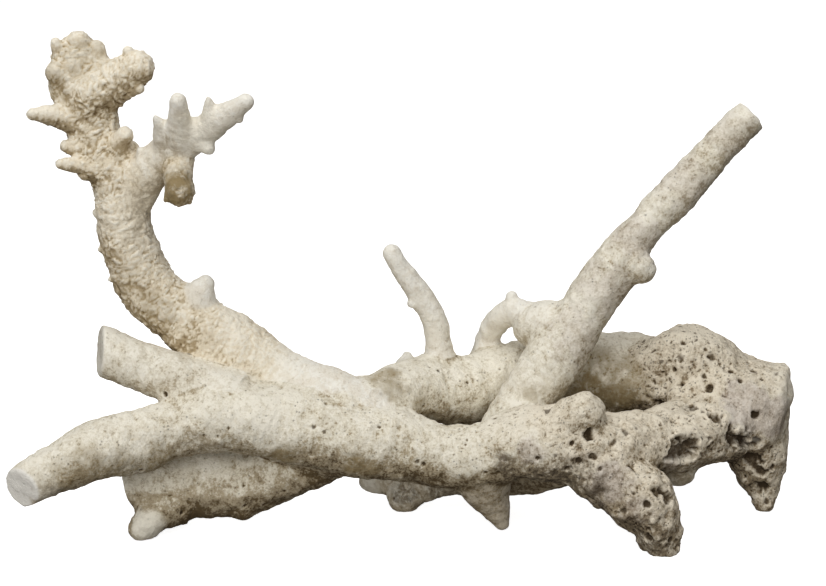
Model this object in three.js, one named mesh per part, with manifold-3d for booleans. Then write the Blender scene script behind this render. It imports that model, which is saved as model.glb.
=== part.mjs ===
// A dry, bleached piece of branching coral, lying on the broken stubs of its lower limbs.
//
// The piece is one grown skeleton. Every limb is a rounded bar swept along its own centreline, the
// bars are joined into one solid, worn flat where they touch the table, broken off at their ends and
// then sawn through at the main forks, so that each limb is a separate solid.
//
// Millimetres, +Z up. +X runs along the trunk towards the reef end, and +Y away from the side with
// the two cut arms. The origin is the middle of the piece's outline, at the height of the table.
import * as THREE from "three";
import { mergeVertices } from "three/addons/utils/BufferGeometryUtils.js";
import Module from "manifold-3d";

const SAW_KERF = 0.3; // width of the cut between two neighbouring limbs
const SAW_OVERREACH = 1.4; // radius of the saw disc over the limb's own radius, unless a cut says otherwise
const RING_STEP = 1.1; // distance between two rings of a limb, in its radii
const LEAST_STEP = 4; // the same in millimetres, for the thinnest twigs
const SIDES_PER_ROOT_MM = 2.6; // a ring's sides grow with the square root of its radius
const LEAST_SIDES = 6;
const DOME_RING = 45; // degrees from the rim of a rounded tip to the one ring below its pole
const LUMP_SHARE = 0.035; // how far the cross-section strays from a circle
const LUMP_PITCH = 9; // length that one radian of that wandering takes
const LUMP_STRETCH = 17; // the same across the height, which makes the wandering uneven
const SAW_SIDES = 24;
const SEED_RADIUS = 0.5; // ball that tells which sawn solid holds a limb's seed
const SEED_SIDES = 6;
const SAWDUST_MM3 = 1; // slivers left by the saw, which are dropped

// Centrelines from root to tip. Each point is x, y, z and the limb's radius there.
const LIMBS = {
  // The main trunk lies along the table's length, with a second bar grown on to its underside.
  trunk: [
    [-106, 0, 62, 18.5], [-78, 2, 61, 19], [-53, 2, 56, 19.5], [-30, 1, 51, 20], [-7, 0, 47, 18.5],
    [14, -2, 42, 16.5], [37, -2, 43, 17.5], [54, -4, 49, 18.5], [75, -5, 50, 19], [95, -4, 47, 18],
    [116, 2, 46, 17], [139, 16, 46, 18], [162, 34, 47, 21],
  ],
  underbar: [
    [-156, 6, 22, 13.5], [-137, 8, 22, 15], [-111, 10, 22.5, 17], [-82, 10, 25, 16.5],
    [-53, 8, 36, 13.5], [-27, 4, 46, 11],
  ],
  underbarToe: [[-121, 3, 15, 11.5], [-131, -4, 12, 10], [-138, -8, 6.5, 8.5]],
  underbarBump: [[-86, 6, 20, 10], [-88, 3, 13, 7]],
  trunkKnob: [[62, -6, 56, 14], [72, -7, 60, 13.5], [84, -10, 67, 11.5]],

  // Two cut limbs fork from the trunk's free end.
  arm: [
    [-101, 0, 61, 18.5], [-121, -4, 57, 15.5], [-140, -10, 53, 16], [-158, -17, 51.5, 15.5],
    [-175, -24, 44, 12.5], [-206, -37, 31, 10.5],
  ],
  stub: [[-91, 6, 67, 17.5], [-114, 10, 76, 14], [-135, 14, 84, 13], [-168, 19, 95, 12]],

  // The tall antler rises behind them, and forks into a knobbed head and a spur.
  stem: [
    [-21, 8, 66, 11.5], [-35, 12, 68, 14.5], [-58, 20, 70, 16], [-78, 27, 79, 17], [-99, 31, 93, 17],
    [-119, 34, 105, 16], [-133, 36, 116, 15], [-143, 38, 130, 14.5], [-148, 39, 146, 14],
    [-149, 40, 162, 13.5], [-150, 41, 174, 13.5],
  ],
  stemKnob: [[-113, 33, 111, 12], [-110, 32, 119, 8.5], [-107, 32, 124.5, 4.5]],
  head: [
    [-149, 40, 167, 13.5], [-153, 42, 183, 14.5], [-162, 44, 197, 13],
    [-166, 46, 212, 14], [-170, 47, 226, 15], [-171, 48, 238, 13.5],
  ],
  headArm: [[-163, 44, 223, 14.5], [-150, 40, 229, 11.5], [-139, 36, 236, 8.5]],
  headArmHorn: [[-141, 36, 240, 5], [-143, 35, 244, 3]],
  headArmKnob: [[-145, 36, 224, 4.5], [-138, 33, 226, 3]],
  headTipLeft: [[-177, 44, 239, 5.5], [-180, 40, 248, 3]],
  headTipMiddle: [[-169, 46, 239, 10], [-169, 44, 247, 7]],
  headTipRight: [[-162, 46, 238, 8], [-160, 44, 244, 5]],
  headSide: [[-176, 42, 229, 7.5], [-180, 38, 233, 6]],
  headFinger: [[-172, 40, 208, 8], [-183, 33, 212, 5], [-191, 28, 213.5, 3.2]],
  headKnobUpper: [[-168, 38, 195, 7.5], [-176, 34, 196, 3.5]],
  headKnobLower: [[-160, 36, 184, 8], [-171, 31, 187, 4.5], [-178, 28, 188, 3.2]],
  headKnobFoot: [[-161, 38, 182, 6], [-167, 32, 182, 3.5]],
  headKnobInner: [[-152, 36, 193, 6], [-146, 32, 202, 4.5]],
  spur: [
    [-148, 40, 164, 12.5], [-135, 35, 182, 11], [-122, 31, 194, 10], [-113, 26, 201, 9.5],
    [-103, 21, 207.5, 8], [-93, 14, 215, 6.5], [-82, 8, 223, 4.2],
  ],
  spurCrotch: [[-136, 34, 186, 5], [-138, 32, 194, 2.5]],
  spurHorn: [[-124, 26, 202, 7], [-126, 20, 209, 4], [-128, 16, 214, 1.5]],
  spurKnob: [[-116, 23, 203, 8.5], [-116, 15, 215, 5.5], [-116, 11, 223, 4.2]],
  spurSpike: [[-100, 17, 212, 6.5], [-101, 12, 224, 1.5]],
  spurBump: [[-105, 20, 200, 5], [-102, 18, 198, 3.5]],
  spurTipBump: [[-91, 14, 215, 4], [-86, 11, 214, 2.5]],
  droop: [[-117, 26, 191, 6.5], [-118, 19, 182, 7.5], [-117, 15, 176.5, 8]],
  droopLeft: [[-121, 13, 177, 4], [-124, 11, 173, 1.5]],
  droopRight: [[-114, 14, 177, 4.5], [-112, 13, 174, 2]],

  // The rear bough leaves the trunk, passes behind the straight branch and ends in the reef block.
  bough: [
    [-35, 8, 63, 15.5], [-17, 17, 67, 15], [1, 31, 67, 17], [14, 40, 64.5, 18.5], [30, 47, 64, 18],
    [47, 55, 67, 17], [74, 62, 67, 18.5], [101, 64, 66, 22], [128, 63, 63, 23], [154, 58, 57, 23],
  ],
  belly: [[18, 50, 53, 13], [36, 56, 48.5, 13], [68, 59, 48.5, 12.5], [100, 59, 51, 12.5]],
  boughNub: [[-3, 40, 68, 11], [-3, 48, 76, 6.5], [-3, 50, 80, 2.5]],
  finger: [
    [15, 44, 71, 9.5], [14, 46, 87, 7.5], [11, 46, 101, 7], [5, 46, 112, 6.5], [-2, 45, 123, 5.8],
    [-8, 44, 132, 4.8], [-11, 44, 138, 4.6],
  ],
  fingerKnob: [[5, 44, 111, 4], [-1, 42, 111, 2.5]],

  // The straight branch leans over the bough, and a thin twig arches from it to the bough's back.
  straight: [
    [45, 12, 41, 15.5], [58, 20, 63, 14.5], [70, 26, 81, 14.5], [81, 30, 97, 14], [92, 34, 114, 13.5],
    [103, 38, 129, 12.5], [115, 42, 146, 11.5], [132, 46, 164, 10.5], [151, 51, 184, 9.5],
    [168, 56, 201, 9], [178, 59, 210, 8.5],
  ],
  straightKnob: [[108, 37, 136, 11.5], [117, 33, 132.5, 8]],
  straightLip: [[173, 55, 207, 3.5], [181, 53, 208, 1.5]],
  lump: [[81, 32, 97, 14], [71, 38, 101, 13], [65, 42, 99.5, 12.5]],
  arch: [
    [62, 44, 103, 9], [53, 50, 104.5, 7.5], [45.5, 55, 98.5, 6.8], [41, 61, 89, 6.8], [38.5, 64, 79, 7],
    [36, 64, 66, 8.5],
  ],
  archSpike: [[53, 50, 106, 6], [52, 50, 112.5, 3.5]],

  // The reef end: a pitted block with a foot at the front and one at the back.
  frontFoot: [
    [90, -8, 44, 16], [104, -14, 33, 17], [117, -20, 24, 17.5], [123, -24, 13, 13], [124, -24, 6, 10],
  ],
  block: [[138, 54, 57, 22], [159, 50, 55, 27.5], [179, 47, 51, 27], [197, 45, 51, 23]],
  blockCorner: [[178, 45, 63, 15], [188, 43, 61, 13.5]],
  blockNub: [[145, 26, 41, 15.5], [141, 20, 32, 13.5], [140, 17, 28, 9]],
  crust: [[126, 53, 76, 14], [139, 52, 79, 16], [150, 51, 79, 16], [162, 50, 74, 15]],
  rearFoot: [[178, 46, 50, 23], [181, 44, 36, 20], [184, 40, 23, 16], [187, 36, 12, 9.5], [187, 33, 4, 6]],

  // Two broken roots under the middle of the trunk.
  spike: [[35, 2, 38, 18.5], [39, 2, 22, 13], [43, 2, 12, 8], [45.5, 2, 6.5, 5], [46, 2, 4.5, 4]],
  root: [
    [89, 8, 48, 13.5], [75, 26, 29, 13], [60, 36, 18, 11], [41, 42, 16, 12], [20, 42, 18, 12.5],
    [1, 38, 13, 11.5], [-5, 34, 7, 9.5],
  ],
  rootNub: [[-10, 42, 14, 9.5], [-19, 46, 11, 7], [-24, 48, 10, 5.5]],
};

// Clean breaks: everything of the limb beyond a plane through the point, facing along "out", is gone.
const BREAKS = {
  arm: { point: [-192, -35, 39], out: [-0.6, -0.77, -0.2] },
  stub: { point: [-161, 17, 92.5], out: [-0.95, -0.25, 0.16] },
  straight: { point: [176, 58, 208], out: [0.75, 0.1, 0.65] },
  block: { point: [198.5, 40, 52], out: [1, -0.15, -0.1] },
  underbar: { point: [-150.5, 4, 20], out: [-0.94, 0, -0.35] },
};

// Saw cuts at the main forks: the limb that is cut through, and how far along it, from 0 to 1.
const CUTS = [
  { limb: "arm", at: 0.27 },
  { limb: "stub", at: 0.6 },
  { limb: "stem", at: 0.51 },
  { limb: "stem", at: 0.86 },
  { limb: "spur", at: 0.29, overreach: 1.6 },
  { limb: "bough", at: 0.2, overreach: 1.7 },
  { limb: "bough", at: 0.84 },
  { limb: "finger", at: 0.2 },
  { limb: "trunk", at: 0.445 },
  { limb: "trunk", at: 0.82 },
  { limb: "straight", at: 0.14 },
  { limb: "arch", at: 0.25 },
  { limb: "arch", at: 0.63 },
  { limb: "frontFoot", at: 0.56, overreach: 1.15 },
  { limb: "rearFoot", at: 0.5 },
  { limb: "spike", at: 0.4 },
  { limb: "root", at: 0.3 },
];

const WORN_WHITE = { color: 0xd8d2c4, roughness: 0.9 };
const REEF_GREY = { color: 0xb9b0a2, roughness: 0.95 };
const ANTLER_CREAM = { color: 0xd9ccb2, roughness: 0.9 };

// The sawn solids: a point on a limb that lies inside the solid, and its finish.
const NODES = {
  main_trunk: { limb: "trunk", at: 0.2, finish: WORN_WHITE },
  cut_arm: { limb: "arm", at: 0.7, finish: WORN_WHITE },
  cut_stub: { limb: "stub", at: 0.8, finish: WORN_WHITE },
  antler_stem: { limb: "stem", at: 0.6, finish: ANTLER_CREAM },
  antler_head: { limb: "head", at: 0.7, finish: ANTLER_CREAM },
  antler_spur: { limb: "spur", at: 0.6, finish: ANTLER_CREAM },
  rear_bough: { limb: "bough", at: 0.5, finish: WORN_WHITE },
  thin_finger: { limb: "finger", at: 0.6, finish: WORN_WHITE },
  straight_branch: { limb: "straight", at: 0.6, finish: WORN_WHITE },
  arch_twig: { limb: "arch", at: 0.4, finish: WORN_WHITE },
  pitted_trunk: { limb: "trunk", at: 0.65, finish: REEF_GREY },
  front_foot: { limb: "frontFoot", at: 0.6, finish: REEF_GREY },
  reef_block: { limb: "block", at: 0.6, finish: REEF_GREY },
  rear_foot: { limb: "rearFoot", at: 0.55, finish: REEF_GREY },
  spike_root: { limb: "spike", at: 0.6, finish: WORN_WHITE },
  rear_root: { limb: "root", at: 0.6, finish: WORN_WHITE },
};

const wasm = await Module();
wasm.setup();

/** A closed geometry as a solid that can be joined and cut. */
function solidOf(geometry) {
  geometry.deleteAttribute("normal");
  geometry.deleteAttribute("uv");
  const merged = mergeVertices(geometry, 1e-3);
  return new wasm.Manifold(
    new wasm.Mesh({
      numProp: 3,
      vertProperties: merged.attributes.position.array,
      triVerts: new Uint32Array(merged.index.array),
    }),
  );
}

/** The smooth centreline of a limb. */
function spineOf(points) {
  return new THREE.CatmullRomCurve3(points.map(([x, y, z]) => new THREE.Vector3(x, y, z)));
}

/** The limb's radius at a share of its length. */
function radiusAt(points, spine, share) {
  const radii = new THREE.CatmullRomCurve3(points.map(([, , , radius]) => new THREE.Vector3(radius, 0, 0)));
  return radii.getPoint(spine.getUtoTmapping(share)).x;
}

/** How much wider than its nominal radius a limb is at a place: a slow wandering, alike on all limbs. */
function lumpiness({ x, y, z }) {
  const across = Math.sin(x / LUMP_PITCH + 1) * Math.sin(y / LUMP_PITCH);
  const upward = Math.sin(z / LUMP_PITCH + x / LUMP_STRETCH);
  return 1 + LUMP_SHARE * (across + upward);
}

/** The rings of a limb from root to tip, with a dome on the tip: centre, radius and two directions across. */
function ringsOf(points) {
  const spine = spineOf(points);
  const widest = Math.max(...points.map(([, , , radius]) => radius));
  const count = Math.max(2, Math.round(spine.getLength() / Math.max(LEAST_STEP, widest * RING_STEP)));
  const frames = spine.computeFrenetFrames(count);
  const rings = [];
  for (let i = 0; i <= count; i++) {
    rings.push({
      centre: spine.getPointAt(i / count),
      radius: radiusAt(points, spine, i / count),
      across: [frames.binormals[i], frames.normals[i]],
    });
  }
  const tip = rings[count];
  const angle = THREE.MathUtils.degToRad(DOME_RING);
  rings.push({
    ...tip,
    centre: tip.centre.clone().addScaledVector(frames.tangents[count], tip.radius * Math.sin(angle)),
    radius: tip.radius * Math.cos(angle),
  });
  const pole = tip.centre.clone().addScaledVector(frames.tangents[count], tip.radius);
  return { rings, root: rings[0].centre, pole, widest };
}

/** A limb: a turned profile, one point to a ring, bent along the limb's centreline. */
function limbSolid(points) {
  const { rings, root, pole, widest } = ringsOf(points);
  const sides = Math.max(LEAST_SIDES, Math.round(Math.sqrt(widest) * SIDES_PER_ROOT_MM));
  const last = rings.length - 1;
  const profile = rings.map(({ radius }, i) => new THREE.Vector2(radius, i));
  profile.unshift(new THREE.Vector2(0, -1));
  profile.push(new THREE.Vector2(0, last + 1));
  const bar = new THREE.LatheGeometry(profile, sides);
  const places = bar.attributes.position;
  for (let i = 0; i < places.count; i++) {
    const ring = Math.round(places.getY(i));
    const place = new THREE.Vector3();
    if (ring < 0) place.copy(root);
    else if (ring > last) place.copy(pole);
    else {
      const { centre, across } = rings[ring];
      const swell = lumpiness(centre.clone().addScaledVector(across[0], places.getX(i)));
      place.copy(centre);
      place.addScaledVector(across[0], places.getX(i) * swell);
      place.addScaledVector(across[1], places.getZ(i) * swell);
    }
    places.setXYZ(i, place.x, place.y, place.z);
  }
  return solidOf(bar);
}

/** A limb with its tip broken off along a plane. */
function brokenOff(solid, { point, out }) {
  const inwards = new THREE.Vector3(...out).normalize().negate();
  return solid.trimByPlane(inwards.toArray(), inwards.dot(new THREE.Vector3(...point)));
}

/** The disc that a saw takes out of a limb. */
function sawDisc({ limb, at, overreach = SAW_OVERREACH }) {
  const points = LIMBS[limb];
  const spine = spineOf(points);
  const radius = radiusAt(points, spine, at) * overreach;
  const disc = new THREE.CylinderGeometry(radius, radius, SAW_KERF, SAW_SIDES);
  const turn = new THREE.Quaternion().setFromUnitVectors(new THREE.Vector3(0, 1, 0), spine.getTangentAt(at));
  disc.applyQuaternion(turn);
  disc.translate(...spine.getPointAt(at).toArray());
  return solidOf(disc);
}

/** The whole skeleton, worn flat at the height of the table. */
function grownSkeleton() {
  const limbs = Object.entries(LIMBS).map(([name, points]) => {
    const whole = limbSolid(points);
    return BREAKS[name] ? brokenOff(whole, BREAKS[name]) : whole;
  });
  return wasm.Manifold.union(limbs).trimByPlane([0, 0, 1], 0);
}

/** The one sawn solid that holds a node's seed. */
function pieceOf(name, pieces) {
  const { limb, at } = NODES[name];
  const seed = new THREE.SphereGeometry(SEED_RADIUS, SEED_SIDES, SEED_SIDES);
  seed.translate(...spineOf(LIMBS[limb]).getPointAt(at).toArray());
  const ball = solidOf(seed);
  const held = pieces.filter((piece) => piece.intersect(ball).volume() > 0);
  if (held.length !== 1) throw new Error(name + " is found in " + held.length + " pieces");
  return held[0];
}

/** A sawn solid as a named mesh, placed at its seed. */
function meshOf(name, piece) {
  const { limb, at, finish } = NODES[name];
  const { numProp, numVert, vertProperties, triVerts } = piece.getMesh();
  const places = new Float32Array(numVert * 3);
  for (let i = 0; i < numVert; i++) places.set(vertProperties.subarray(i * numProp, i * numProp + 3), i * 3);
  const geometry = new THREE.BufferGeometry();
  geometry.setAttribute("position", new THREE.BufferAttribute(places, 3));
  geometry.setIndex(new THREE.BufferAttribute(triVerts, 1));
  const seat = spineOf(LIMBS[limb]).getPointAt(at);
  geometry.translate(-seat.x, -seat.y, -seat.z);
  geometry.computeVertexNormals();
  const mesh = new THREE.Mesh(geometry, new THREE.MeshStandardMaterial(finish));
  mesh.name = name;
  mesh.position.copy(seat);
  return mesh;
}

const sawn = CUTS.reduce((coral, cut) => coral.subtract(sawDisc(cut)), grownSkeleton());
const pieces = sawn.decompose().filter((piece) => piece.volume() > SAWDUST_MM3);
const names = Object.keys(NODES);
if (pieces.length !== names.length) {
  const volumes = pieces.map((piece) => piece.volume().toFixed(0));
  throw new Error("the saw left " + pieces.length + " pieces: " + volumes);
}

const coral = new THREE.Group();
coral.name = "branching_coral";
for (const name of names) coral.add(meshOf(name, pieceOf(name, pieces)));

const outline = new THREE.Box3().setFromObject(coral);
const middle = outline.getCenter(new THREE.Vector3());
coral.position.set(-middle.x, -middle.y, 0);

export default coral;
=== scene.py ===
"""The looks of a dry, bleached piece of branching coral, resting on the broken stubs of its lower limbs.

The skin is one grown surface. Each limb is a round profile carried along a centreline, and the limbs are
those of the solid model but for the small teeth of the antler. They are fused, their crotches are filled,
and the surface is then moved along its normals by worked-out reliefs: slow swellings, scales on the
antler, sponge holes at the reef end and the larger cavities at their places. At the end it is parted at
the main forks into one closed piece for each node of the frame. Lengths in the tables are millimetres;
meshes are handed over in metres.
"""

import itertools
import logging
import math
from dataclasses import dataclass, field
from enum import Enum
from functools import cached_property
from typing import ClassVar, Iterable, Mapping, Sequence

import bpy
import numpy as np
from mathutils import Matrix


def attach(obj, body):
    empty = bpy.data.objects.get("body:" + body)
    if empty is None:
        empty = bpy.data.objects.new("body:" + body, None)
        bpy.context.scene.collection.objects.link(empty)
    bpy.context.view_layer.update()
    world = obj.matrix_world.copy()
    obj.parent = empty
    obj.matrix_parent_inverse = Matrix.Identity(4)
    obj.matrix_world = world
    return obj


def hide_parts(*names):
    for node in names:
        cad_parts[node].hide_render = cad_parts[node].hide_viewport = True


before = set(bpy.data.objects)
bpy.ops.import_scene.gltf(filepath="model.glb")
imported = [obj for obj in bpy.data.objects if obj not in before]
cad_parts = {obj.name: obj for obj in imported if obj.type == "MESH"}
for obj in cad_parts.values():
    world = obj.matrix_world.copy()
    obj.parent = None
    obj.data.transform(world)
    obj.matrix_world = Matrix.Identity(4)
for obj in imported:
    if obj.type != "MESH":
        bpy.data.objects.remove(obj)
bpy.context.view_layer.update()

log = logging.getLogger("coral")
Array = np.ndarray
Colour = tuple[float, float, float, float]
Point = tuple[float, float, float]

MM = 0.001  # metres in a millimetre
GROWN_SHIFT = np.array([0.630, -23.178, 0.0])  # from the limb table's own origin to the frame's origin
FINE_VOXEL = 0.78  # how fine the fused skin is, in millimetres

# Centrelines from root to tip. Each point is x, y, z and the limb's radius there.
LIMBS: dict[str, Sequence[Sequence[float]]] = {
    # The main trunk lies along the table's length, with a second bar grown on to its underside.
    "trunk": (
        (-106, 0, 62, 18.5), (-78, 2, 61, 19), (-53, 2, 56, 19.5), (-30, 1, 51, 20), (-7, 0, 47, 18.5),
        (14, -2, 42, 16.5), (37, -2, 43, 17.5), (54, -4, 49, 18.5), (75, -5, 50, 19), (95, -4, 47, 18),
        (116, 2, 46, 17), (139, 16, 46, 18), (162, 34, 47, 21),
    ),
    "underbar": (
        (-156, 6, 22, 13.5), (-137, 8, 22, 15), (-111, 10, 22.5, 17), (-82, 10, 25, 16.5),
        (-53, 8, 36, 13.5), (-27, 4, 46, 11),
    ),
    "underbarToe": ((-121, 3, 15, 11.5), (-131, -4, 12, 10), (-138, -8, 6.5, 8.5)),
    "underbarBump": ((-86, 6, 20, 10), (-88, 3, 13, 7)),
    "trunkKnob": ((62, -6, 54.5, 14), (73, -7, 57.5, 13), (82, -9, 64.5, 12), (86, -10, 67.5, 11)),
    # Two cut limbs fork from the trunk's free end.
    "arm": (
        (-101, 0, 61, 18.5), (-121, -4, 57, 15.5), (-140, -10, 53, 16), (-158, -17, 51.5, 15.5),
        (-175, -24, 44, 12.5), (-206, -37, 31, 10.5),
    ),
    "stub": ((-91, 6, 67, 17.5), (-114, 10, 76, 14), (-135, 14, 84, 13), (-168, 19, 95, 12)),
    # The tall antler rises behind them, and forks into a knobbed head and a spur.
    "stem": (
        (-21, 8, 66, 11.5), (-35, 12, 68, 14.5), (-58, 20, 70, 16), (-78, 27, 79, 17), (-99, 31, 93, 17),
        (-119, 34, 105, 16), (-133, 36, 116, 15), (-143, 38, 130, 14.5), (-148, 39, 146, 14),
        (-149, 40, 162, 13.5), (-150, 41, 174, 13.5),
    ),
    "stemKnob": ((-113, 33, 111, 12), (-110, 32, 119, 8.5), (-107, 32, 124.5, 4.5)),
    "head": (
        (-149, 40, 167, 13.5), (-153, 42, 183, 14.5), (-162, 44, 197, 13),
        (-166, 46, 212, 14), (-170, 47, 226, 15), (-171, 48, 238, 13.5),
    ),
    "headArm": ((-163, 44, 223, 14.5), (-150, 40, 229, 11.5), (-139, 36, 236, 8.5)),
    "headArmHorn": ((-141, 36, 240, 5), (-143, 35, 244, 3)),
    "headArmKnob": ((-145, 36, 224, 4.5), (-138, 33, 226, 3)),
    "headTipLeft": ((-177, 44, 239, 5.5), (-180, 40, 248, 3)),
    "headTipMiddle": ((-169, 46, 239, 10), (-169, 44, 247, 7)),
    "headTipRight": ((-162, 46, 238, 8), (-160, 44, 244, 5)),
    "headSide": ((-176, 42, 229, 7.5), (-180, 38, 233, 6)),
    "headFinger": ((-172, 40, 208, 8), (-183, 33, 212, 5), (-191, 28, 213.5, 3.2)),
    "headKnobUpper": ((-168, 38, 195, 7.5), (-176, 34, 196, 3.5)),
    "headKnobLower": ((-160, 36, 184, 8), (-171, 31, 187, 4.5), (-178, 28, 188, 3.2)),
    "headKnobFoot": ((-161, 38, 182, 6), (-167, 32, 182, 3.5)),
    "headKnobInner": ((-152, 36, 193, 6), (-146, 32, 202, 4.5)),
    "spur": (
        (-148, 40, 164, 12.5), (-135, 35, 182, 11), (-122, 31, 194, 10), (-113, 26, 201, 9.5),
        (-103, 21, 207.5, 8), (-93, 14, 215, 6.5), (-82, 8, 223, 4.2),
    ),
    "spurCrotch": ((-136, 34, 186, 5), (-138, 32, 194, 2.5)),
    "spurHorn": ((-124, 26, 202, 7), (-126, 20, 209, 4), (-128, 16, 214, 1.5)),
    "spurKnob": ((-116, 23, 203, 8.5), (-116, 15, 215, 5.5), (-116, 11, 223, 4.2)),
    "spurSpike": ((-100, 17, 212, 6.5), (-101, 12, 224, 1.5)),
    "spurBump": ((-105, 20, 200, 5), (-102, 18, 198, 3.5)),
    "spurTipBump": ((-91, 14, 215, 4), (-86, 11, 214, 2.5)),
    "droop": ((-117, 26, 191, 6.5), (-118, 19, 182, 7.5), (-117, 15, 176.5, 8)),
    "droopLeft": ((-121, 13, 177, 4), (-124, 11, 173, 1.5)),
    "droopRight": ((-114, 14, 177, 4.5), (-112, 13, 174, 2)),
    # The rear bough leaves the trunk, passes behind the straight branch and ends in the reef block.
    "bough": (
        (-35, 8, 63, 15.5), (-17, 17, 67, 15), (1, 31, 67, 17), (14, 40, 64.5, 18.5), (30, 47, 64, 18),
        (47, 55, 67, 17), (74, 62, 67, 18.5), (101, 64, 66, 22), (128, 63, 63, 23), (154, 58, 57, 23),
    ),
    "belly": ((18, 50, 53, 13), (36, 56, 48.5, 13), (68, 59, 48.5, 12.5), (100, 59, 51, 12.5)),
    "boughNub": ((-3, 40, 68, 11), (-3, 48, 76, 6.5), (-3, 50, 80, 2.5)),
    "finger": (
        (15, 44, 71, 9.5), (14, 46, 87, 7.5), (11, 46, 101, 7), (5, 46, 112, 6.5), (-2, 45, 123, 5.8),
        (-8, 44, 132, 4.8), (-11, 44, 138, 4.6),
    ),
    "fingerKnob": ((5, 44, 111, 4), (-1, 42, 111, 2.5)),
    # The straight branch leans over the bough, and a thin twig arches from it to the bough's back.
    "straight": (
        (45, 12, 41, 15.5), (58, 20, 63, 14.5), (70, 26, 81, 14.5), (81, 30, 97, 14), (92, 34, 114, 13.5),
        (103, 38, 129, 12.5), (115, 42, 146, 11.5), (132, 46, 164, 10.5), (151, 51, 184, 9.5),
        (168, 56, 201, 9), (178, 59, 210, 8.5),
    ),
    "straightKnob": ((108, 37, 136, 11.5), (117, 33, 132.5, 8)),
    "straightLip": ((173, 55, 207, 3.5), (181, 53, 208, 1.5)),
    "lump": ((81, 32, 97, 14), (71, 38, 101, 13), (65, 42, 99.5, 12.5)),
    "arch": (
        (62, 44, 103, 9), (53, 50, 104.5, 7.5), (45.5, 55, 98.5, 6.8), (41, 61, 89, 6.8), (38.5, 64, 79, 7),
        (36, 64, 66, 8.5),
    ),
    "archSpike": ((53, 50, 106, 6), (52, 50, 112.5, 3.5)),
    # The reef end: a pitted block with a foot at the front and one at the back.
    "frontFoot": (
        (90, -8, 44, 16), (104, -14, 33, 17), (117, -20, 24, 17.5), (123, -24, 13, 13), (124, -24, 6, 10),
    ),
    "block": ((138, 54, 57, 22), (159, 50, 55, 27.5), (179, 47, 51, 27), (197, 45, 51, 23)),
    "blockCorner": ((178, 45, 63, 15), (188, 43, 61, 13.5)),
    "blockNub": ((145, 26, 41, 15.5), (141, 20, 32, 13.5), (140, 17, 28, 9)),
    "crust": (
        (112, 58, 70, 10), (124, 54, 75, 12.5), (139, 52, 79, 16), (150, 51, 79, 16), (162, 50, 74, 15),
    ),
    "rearFoot": (
        (178, 46, 50, 23), (181, 44, 36, 20), (184, 40, 23, 16), (187, 36, 12, 9.5), (187, 33, 4, 6),
    ),
    # Two broken roots under the middle of the trunk.
    "spike": ((35, 2, 38, 18.5), (39, 2, 22, 13), (43, 2, 12, 8), (45.5, 2, 6.5, 5), (46, 2, 4.5, 4)),
    "root": (
        (89, 8, 48, 13.5), (75, 26, 29, 13), (60, 36, 18, 11), (41, 42, 16, 12), (20, 42, 18, 12.5),
        (1, 38, 13, 11.5), (-5, 34, 7, 9.5),
    ),
    "rootNub": ((-10, 42, 14, 9.5), (-19, 46, 11, 7), (-24, 48, 10, 5.5)),
}

# Small teeth along the antler's outer edge, too fine for the solid model: root, tip and the two radii.
TEETH: Sequence[Sequence[float]] = (
    (-156, 36, 141, -161, 34, 142, 4.5, 1.8),
    (-151, 34, 127, -156, 31, 127, 4.5, 1.6),
    (-144, 32, 117, -148, 29, 115, 4.5, 1.6),
    (-135, 31, 106, -138, 28, 104, 4.2, 1.6),
    (-124, 29, 98, -127, 27, 95, 4.5, 1.6),
    (-112, 28, 90, -114, 26, 87, 4.2, 1.6),
    (-161, 38, 160, -163.5, 37, 161, 4, 1.6),
)

# Where limbs are broken off: a point of the break's plane, and the direction in which nothing is left.
BREAKS: dict[str, Sequence[float]] = {
    "arm": (-192, -35, 39, -0.6, -0.77, -0.2),
    "stub": (-161, 17, 92.5, -0.95, -0.25, 0.16),
    "straight": (176, 58, 208, 0.75, 0.1, 0.65),
    "block": (198.5, 40, 52, 1, -0.15, -0.1),
    "underbar": (-150.5, 4, 20, -0.94, 0, -0.35),
}

# The clean breaks among them, and how pale each still is. The others are weathered.
FRESH_BREAKS = {"arm": 1.0, "stub": 0.3, "straight": 0.6}
WEATHERED_DEPTH = 15.0  # how far inside its plane a weathered break starts to round off

# Which node of the frame each stretch of a limb belongs to: the share where the stretch ends, and the node.
OWNERS: dict[str, Sequence[tuple[float, str]]] = {
    "trunk": ((0.445, "main_trunk"), (0.82, "pitted_trunk"), (1, "reef_block")),
    "arm": ((0.27, "main_trunk"), (1, "cut_arm")),
    "stub": ((0.6, "main_trunk"), (1, "cut_stub")),
    "stem": ((0.51, "main_trunk"), (0.86, "antler_stem"), (1, "antler_head")),
    "stemKnob": ((1, "antler_stem"),),
    "head": ((1, "antler_head"),),
    "spur": ((0.29, "antler_head"), (1, "antler_spur")),
    "droop": ((1, "antler_spur"),),
    "bough": ((0.2, "main_trunk"), (0.84, "rear_bough"), (1, "reef_block")),
    "belly": ((1, "rear_bough"),),
    "boughNub": ((1, "rear_bough"),),
    "finger": ((0.2, "rear_bough"), (1, "thin_finger")),
    "fingerKnob": ((1, "thin_finger"),),
    "straight": ((0.14, "pitted_trunk"), (1, "straight_branch")),
    "lump": ((1, "straight_branch"),),
    "arch": ((0.25, "straight_branch"), (0.63, "arch_twig"), (1, "rear_bough")),
    "archSpike": ((1, "straight_branch"),),
    "frontFoot": ((0.56, "pitted_trunk"), (1, "front_foot")),
    "block": ((1, "reef_block"),),
    "crust": ((1, "reef_block"),),
    "rearFoot": ((0.5, "reef_block"), (1, "rear_foot")),
    "spike": ((0.4, "pitted_trunk"), (1, "spike_root")),
    "root": ((0.3, "pitted_trunk"), (1, "rear_root")),
    "rootNub": ((1, "rear_root"),),
    "underbar": ((1, "main_trunk"),),
    "trunkKnob": ((1, "pitted_trunk"),),
    "tooth": ((1, "antler_stem"),),
}

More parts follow.
